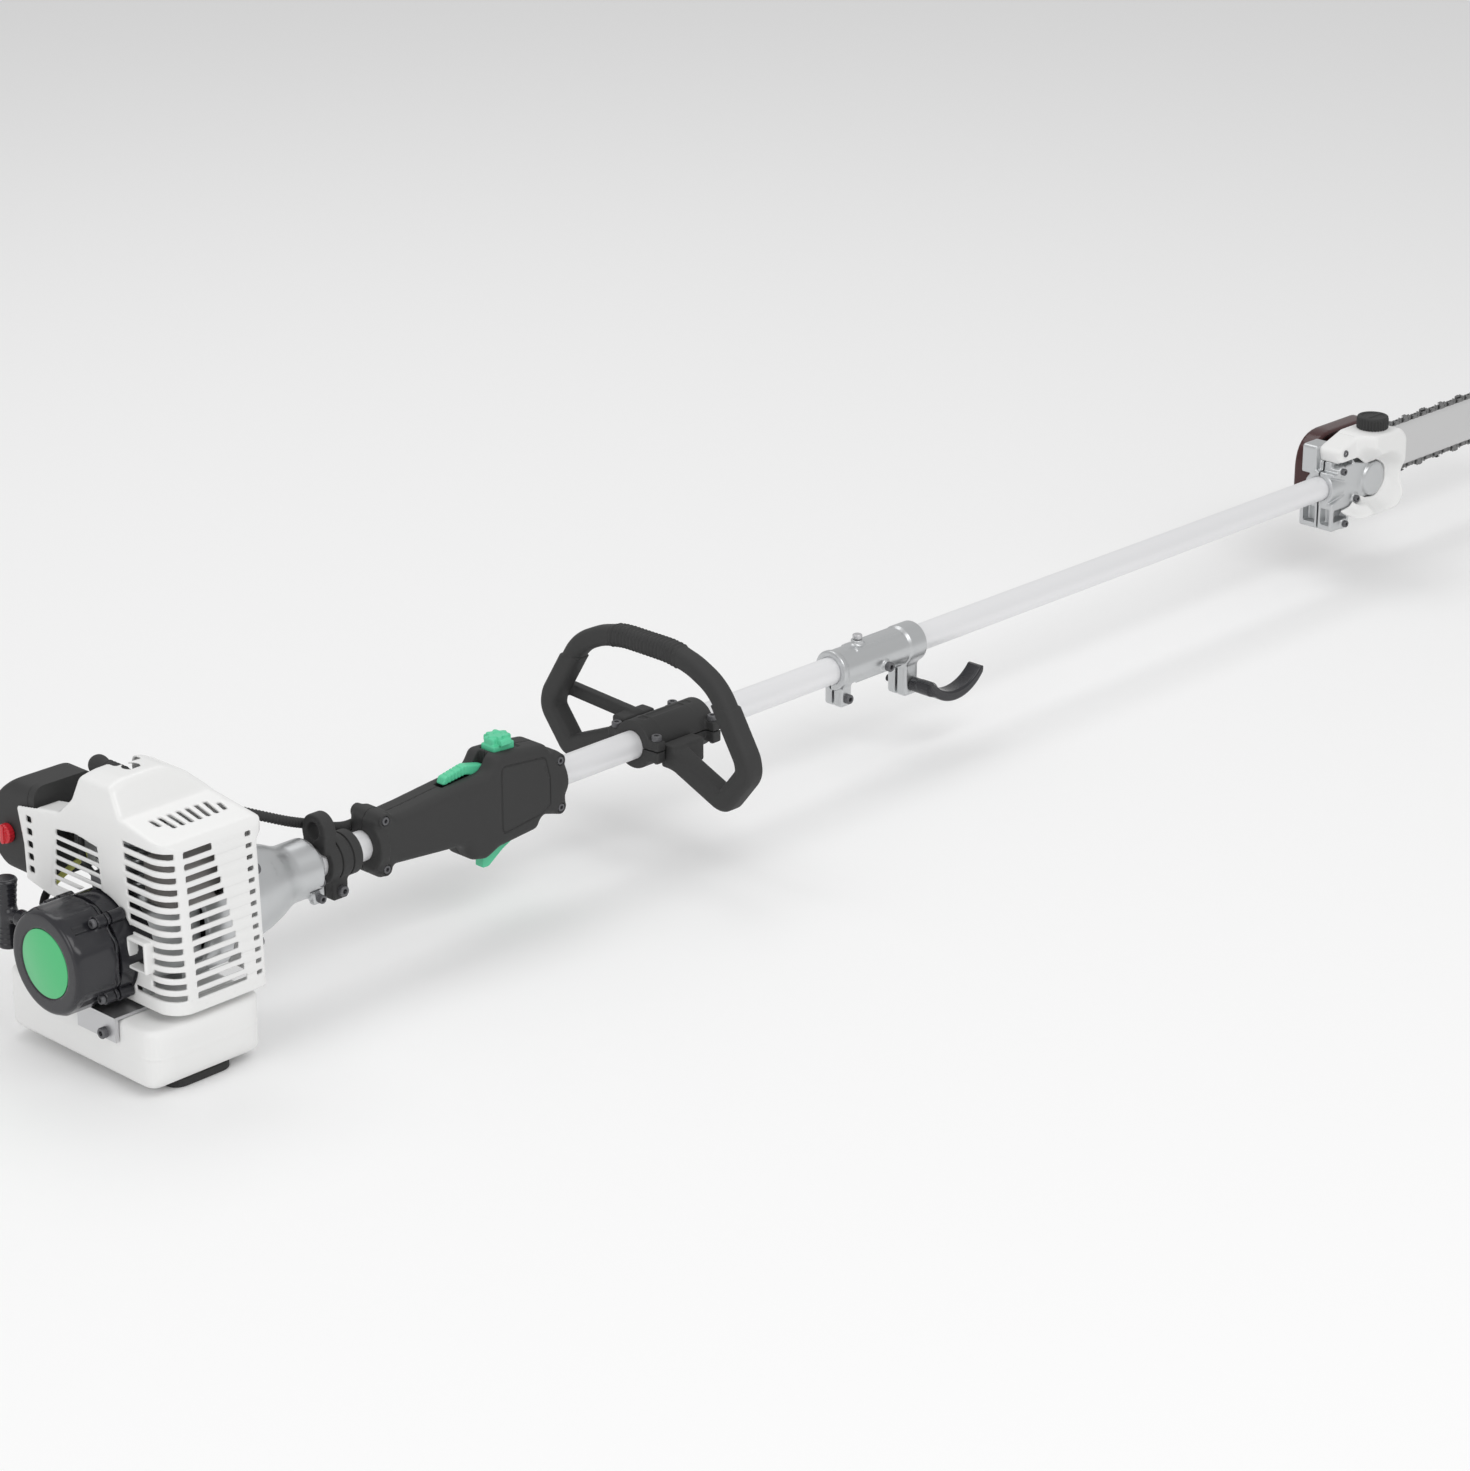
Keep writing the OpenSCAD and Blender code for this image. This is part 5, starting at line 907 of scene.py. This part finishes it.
def bar_and_chain():
    hx, y0 = HEAD_X, 33
    x0, x1, half = hx + 20, hx + 400, 26.5
    nose = x1 - half
    # bar: a flat plate with a chamfered rim, its rail groove and the nose rivets
    outline = [(x0, -17), (x0 + 24, -24.5), (x0 + 44, -half)]
    outline += [(nose - 120 + 12 * k, -half) for k in range(10)]
    outline += [(nose + half * math.sin(a), -half * math.cos(a)) for a in np.linspace(0, math.pi, 33)]
    outline += [(nose - 12 - 12 * k, half) for k in range(10)] + [(x0 + 44, half), (x0 + 24, 24.5), (x0, 17)]
    rings = []
    for inset, y in ((2.2, -0.8), (0.0, -0.8), (0.0, -1.9), (0.5, -2.1), (7.0, -2.1)):
        ring = []
        for i, p in enumerate(outline):
            a, b = Vector(outline[i - 1]), Vector(outline[(i + 1) % len(outline)])
            n = Vector(((b - a).y, -(b - a).x)).normalized()
            ring.append((p[0] - n.x * inset, p[1] - n.y * inset, y))
        rings.append(ring)
    points, faces = [], []
    n = len(outline)
    order = [(r, 1) for r in rings] + [(r, -1) for r in rings[::-1]]
    for ring, sign in order:
        points += [(x, y0 + sign * y, z) for x, z, y in ring]
    for j in range(len(order)):
        if j == 4:
            continue
        m = (j + 1) % len(order)
        for k in range(n):
            faces.append((j * n + k, j * n + (k + 1) % n, m * n + (k + 1) % n, m * n + k))
    faces.append(tuple(4 * n + k for k in range(n)))
    faces.append(tuple(5 * n + k for k in range(n))[::-1])
    add_piece("guide_rail", points, faces, ("guide_bar",), smooth_angle=25)
    parts = []
    for x, z, r in [(nose, 0, 4.2)] + [(nose - 9 + 13 * math.cos(a), 13 * math.sin(a), 2.2) for a in (1.9,
            3.14, 4.4)]:
        for sign, axis in ((-1, "-y"), (1, "y")):
            parts.append(turned_solid([(1.8, 0.01), (1.8, r), (2.45, r), (2.7, r * 0.8), (2.7, 0.01)],
                                      axis, (x, y0, z), 24))
    add_detail("bar_rivets", *gather(parts), "guide_bar", STEEL, 40)

    # chain: drive links with tie straps, and a cutter on every second pair
    centre_r = half + 2.5
    start_r = 18.5

    def span_points():
        out = []
        a0 = math.atan2(centre_r - start_r, x0 + 40 - hx)
        for a in np.linspace(math.pi * 1.5 - a0, math.pi * 0.5 + a0, 40):
            out.append((hx + start_r * math.cos(a), start_r * math.sin(a)))
        out.append((x0 + 44, centre_r))
        for k in range(1, 60):
            out.append((x0 + 44 + (nose - x0 - 44) * k / 60, centre_r))
        for a in np.linspace(math.pi / 2, -math.pi / 2, 60):
            out.append((nose + centre_r * math.cos(a), centre_r * math.sin(a)))
        for k in range(1, 60):
            out.append((nose - (nose - x0 - 44) * k / 60, -centre_r))
        out.append((x0 + 44, -centre_r))
        return out

    path = [Vector(p) for p in span_points()]
    lengths = [0.0]
    for a, b in zip(path, path[1:] + path[:1]):
        lengths.append(lengths[-1] + (b - a).length)
    total = lengths[-1]
    count = int(round(total / 9.4 / 4)) * 4
    pitch = total / count
    closed = path + path[:1]
    xs, zs = [p.x for p in closed], [p.y for p in closed]

    def at(d):
        d %= total
        return Vector((np.interp(d, lengths, xs), np.interp(d, lengths, zs)))

    def plate(outline, d, y_low, y_high):
        """A flat link: outline is (along, outward) about the middle of its pitch."""
        p, q = at(d - pitch / 2), at(d + pitch / 2)
        along = (q - p).normalized()
        out = Vector((-along.y, along.x))
        middle = (p + q) / 2
        flat = [middle + along * a + out * b for a, b in outline]
        n = len(flat)
        pts = [(c.x, y_low, c.y) for c in flat] + [(c.x, y_high, c.y) for c in flat]
        fcs = [tuple(range(n)), tuple(range(2 * n - 1, n - 1, -1))]
        fcs += [(k, k + n, (k + 1) % n + n, (k + 1) % n) for k in range(n)]
        return pts, fcs

    strap = [(-6.4, -1.6), (-5.2, -2.9), (-2.4, -2.9), (0, -2.3), (2.4, -2.9), (5.2, -2.9), (6.4, -1.6),
             (6.4, 1.2), (5.0, 2.4),
             (2.2, 2.4), (0, 1.9), (-2.2, 2.4), (-5.0, 2.4), (-6.4, 1.2)]
    drive = [(-6.2, -2.4), (-2.0, -3.0), (-0.6, -6.6), (1.6, -6.6), (2.6, -3.0), (6.2, -2.4), (6.2, 1.4),
             (4.4, 2.8), (-1.0, 2.8),
             (-3.6, 4.6), (-6.2, 2.2)]
    body = [(-6.4, -1.6), (-5.2, -2.9), (5.2, -2.9), (6.4, -1.6), (6.4, 1.4), (5.6, 3.4), (4.4, 5.2),
            (2.6, 5.2), (2.0, 3.0),
            (0.4, 2.6), (-0.4, 5.6), (-6.0, 5.0), (-6.6, 2.4)]
    gauge = [(3.0, 2.0), (5.6, 2.6), (4.6, 5.0), (3.0, 5.2)]
    parts, tops = [], []
    side = 1
    for i in range(count):
        d = i * pitch
        if i % 2 == 0:
            parts.append(plate(drive, d, y0 - 0.7, y0 + 0.7))
            continue
        cutter = i % 4 == 1
        for s_ in (-1, 1):
            shape = body if cutter and s_ == side else strap
            a, b = sorted((y0 + s_ * 0.85, y0 + s_ * 2.2))
            parts.append(plate(shape, d, a, b))
        if cutter:
            a, b = sorted((y0 + side * 2.25, y0 - side * 1.5))
            tops.append(plate([(-6.2, 4.2), (-0.3, 4.8), (-0.3, 5.6), (-6.2, 5.0)], d, a, b))
            side = -side
        for e in (-pitch / 2, pitch / 2):
            c = at(d + e)
            for sign, axis in ((-1, "-y"), (1, "y")):
                parts.append(turned_solid([(2.1, 0.01), (2.1, 1.25), (2.75, 1.15), (2.95, 0.7),
                                           (2.95, 0.01)], axis, (c.x, y0, c.y), 10))
    add_piece("chain_links", *gather(parts + tops), ("saw_chain",), smooth_angle=30)


# ---- fasteners -----------------------------------------------------------------------------

def cap_screw(axis, place, head_r, head_h, r, length):
    """Cap screw with a hex socket. place is the seat under the head; the shank runs the other way."""
    s = 0.55 * head_r
    points, faces = turned_solid([(-length, 0.01), (-length, r * 0.8), (-length + 0.6, r), (-0.2, r),
                                  (0, head_r * 0.96), (0.4, head_r),
                          (head_h - 0.7, head_r), (head_h, head_r * 0.9), (head_h, s)], axis, place, 36)
    faces = faces[:-1]
    n = len(points)
    along, u, v = (Vector(c) for c in AXES[axis])
    for depth in (head_h, head_h * 0.35):
        for k in range(36):
            a = 2 * math.pi * k / 36
            reach = s * math.cos(math.pi / 6) / math.cos((a % (math.pi / 3)) - math.pi / 6)
            points.append(Vector(place) + along * depth + 0.98 * reach * (math.cos(a) * u + math.sin(a) * v))
    for j in range(2):
        low, high = n - 36 + 36 * j, n + 36 * j
        for k in range(36):
            faces.append((low + k, low + (k + 1) % 36, high + (k + 1) % 36, high + k))
    faces.append(tuple(n + 36 + k for k in range(36)))
    return points, faces


def fasteners():
    parts = []
    for u, v in CASE_SCREWS:
        parts.append(cap_screw("x", (98.1, u, v), 5, 5.9, 2.5, 60))
    for u, v in STARTER_SCREWS:
        points, faces = cap_screw("x", (0, 0, 0), 4, 3.9, 2, 14)
        parts.append(([Vector((-69.05 - p.x, u + p.y, v - p.z)) for p in points], faces))
    points, faces = cap_screw("x", (0, 0, 0), 5, 5, 2.5, 3.2)
    parts.append(([Vector((-66 - p.x, -32 + p.y, -64 - p.z)) for p in points], faces))
    for z in (-8, -24):
        parts.append(cap_screw("-y", (183, -20, z), 4, 5, 2, 7))
    parts.append(cap_screw("-y", (214, -13, -28), 5, 5, 2.5, 27))
    for u, v in HANDLE_SCREWS:
        parts.append(cap_screw("-y", (u, -17.05, v), 4, 3.9, 2, 36))
    for x in CLAMP_LUGS:
        for y in (27, -27):
            parts.append(cap_screw("z", (x, y, 10), 5, 5, 2.5, 24))
    parts.append(cap_screw("-y", (884, -12, -30), 5, 5, 2.5, 27))
    parts.append(cap_screw("-y", (934, -22.5, -6), 5, 5, 2.5, 7))
    for x, z, r in ((445, -27, 2.4), (394, 29, 2.4)):
        parts.append(turned_solid([(-19, 0.01), (-19, r * 0.8), (-18.6, r), (18.6, r), (19, r * 0.8),
                                   (19, 0.01)], "y", (x, 0, z), 32))
    add_piece("engine_side_screws", *gather(parts), ("rear_screws",), smooth_angle=35)
    parts = []
    for x, z in [(HEAD_X - 60, 43)] + HEAD_BOSSES:
        parts.append(cap_screw("-y", (x, -20, z), 4, 5, 2, 42))
    for x in STUDS:
        parts.append(turned_solid([(22, 0.01), (22, 3), (57, 3), (58, 2.4), (58, 0.01)], "y", (x, 0, 0), 32))
        flange = [(52.05, 3.05), (52.05, 8.4), (52.9, 8.4), (53.1, 6.6), (57, 6.6), (57.8, 5.8), (57.8, 3.05)]
        nut_points, nut_faces = [], []
        m = len(flange)
        for y, r in flange:
            for k in range(36):
                a = 2 * math.pi * k / 36
                hexed = r / math.cos((a % (math.pi / 3)) - math.pi / 6) if 5 < r < 7 else r
                nut_points.append((x + hexed * math.sin(a), y, hexed * math.cos(a)))
        for i in range(m):
            for k in range(36):
                p, q = i * 36 + k, i * 36 + (k + 1) % 36
                nut_faces.append((p, q, ((i + 1) % m) * 36 + (k + 1) % 36, ((i + 1) % m) * 36 + k))
        parts.append((nut_points, nut_faces))
    add_piece("saw_side_screws", *gather(parts), ("head_screws",), smooth_angle=35)


engine_cover()
starter()
tank()
ribbed_cap("fuel_filler_cap", 22, 88, -49.5, -36, 18, "fuel_cap")
ribbed_cap("oil_filler_cap", 1774, -18, 60.4, 75, 18.5, "oil_cap")
intake()
grip_and_leads()
clutch_casting()
hanger()
tubes()
controls()
loop()
coupler()
saw_head()
bar_and_chain()
fasteners()


# ---- stage, light and camera ---------------------------------------------------------------

def stage():
    mesh = bpy.data.meshes.new("floor")
    mesh.from_pydata([(-30, -30, 0), (30, -30, 0), (30, 30, 0), (-30, 30, 0)], [], [(0, 1, 2, 3)])
    floor = bpy.data.objects.new("floor", mesh)
    bpy.context.scene.collection.objects.link(floor)
    mat = bpy.data.materials.new("floor_paint")
    mat.use_nodes = True
    shader = mat.node_tree.nodes["Principled BSDF"]
    shader.inputs["Base Color"].default_value = (0.95, 0.95, 0.95, 1)
    shader.inputs["Roughness"].default_value = 0.9
    shader.inputs["Specular IOR Level"].default_value = 0.1
    mesh.materials.append(mat)
    world = bpy.data.worlds.new("studio")
    bpy.context.scene.world = world
    world.use_nodes = True
    world.node_tree.nodes["Background"].inputs["Color"].default_value = (1, 1, 1, 1)
    world.node_tree.nodes["Background"].inputs["Strength"].default_value = 0.6


def softbox(name, place, aim, size, power):
    light = bpy.data.lights.new(name, "AREA")
    light.shape = "RECTANGLE"
    light.size, light.size_y = size
    light.energy = power
    obj = bpy.data.objects.new(name, light)
    bpy.context.scene.collection.objects.link(obj)
    obj.location = place
    obj.rotation_mode = "QUATERNION"
    obj.rotation_quaternion = (Vector(aim) - Vector(place)).to_track_quat("-Z", "Y")


stage()
softbox("key", (0.2, -2.6, 3.2), (0.7, 0, 0.1), (3.2, 2.0), 47)
softbox("side", (-3.0, -0.6, 1.6), (0.2, 0, 0.1), (1.8, 1.8), 19)
softbox("top", (1.0, 1.8, 3.4), (0.9, 0, 0.1), (3.5, 1.6), 26)

camera = bpy.data.objects.new("camera", bpy.data.cameras.new("camera"))
bpy.context.scene.collection.objects.link(camera)
bpy.context.scene.camera = camera
camera.data.sensor_width = 36
camera.data.lens = 95.44
camera.data.clip_end = 100
camera.location = (-1.84076, -2.46895, 1.48221)
turn, drop = math.radians(46.2), math.radians(21.4)
forward = Vector((math.sin(turn) * math.cos(drop), math.cos(turn) * math.cos(drop), -math.sin(drop)))
camera.rotation_mode = "QUATERNION"
camera.rotation_quaternion = forward.to_track_quat("-Z", "Y")
bpy.context.scene.view_settings.view_transform = "Standard"
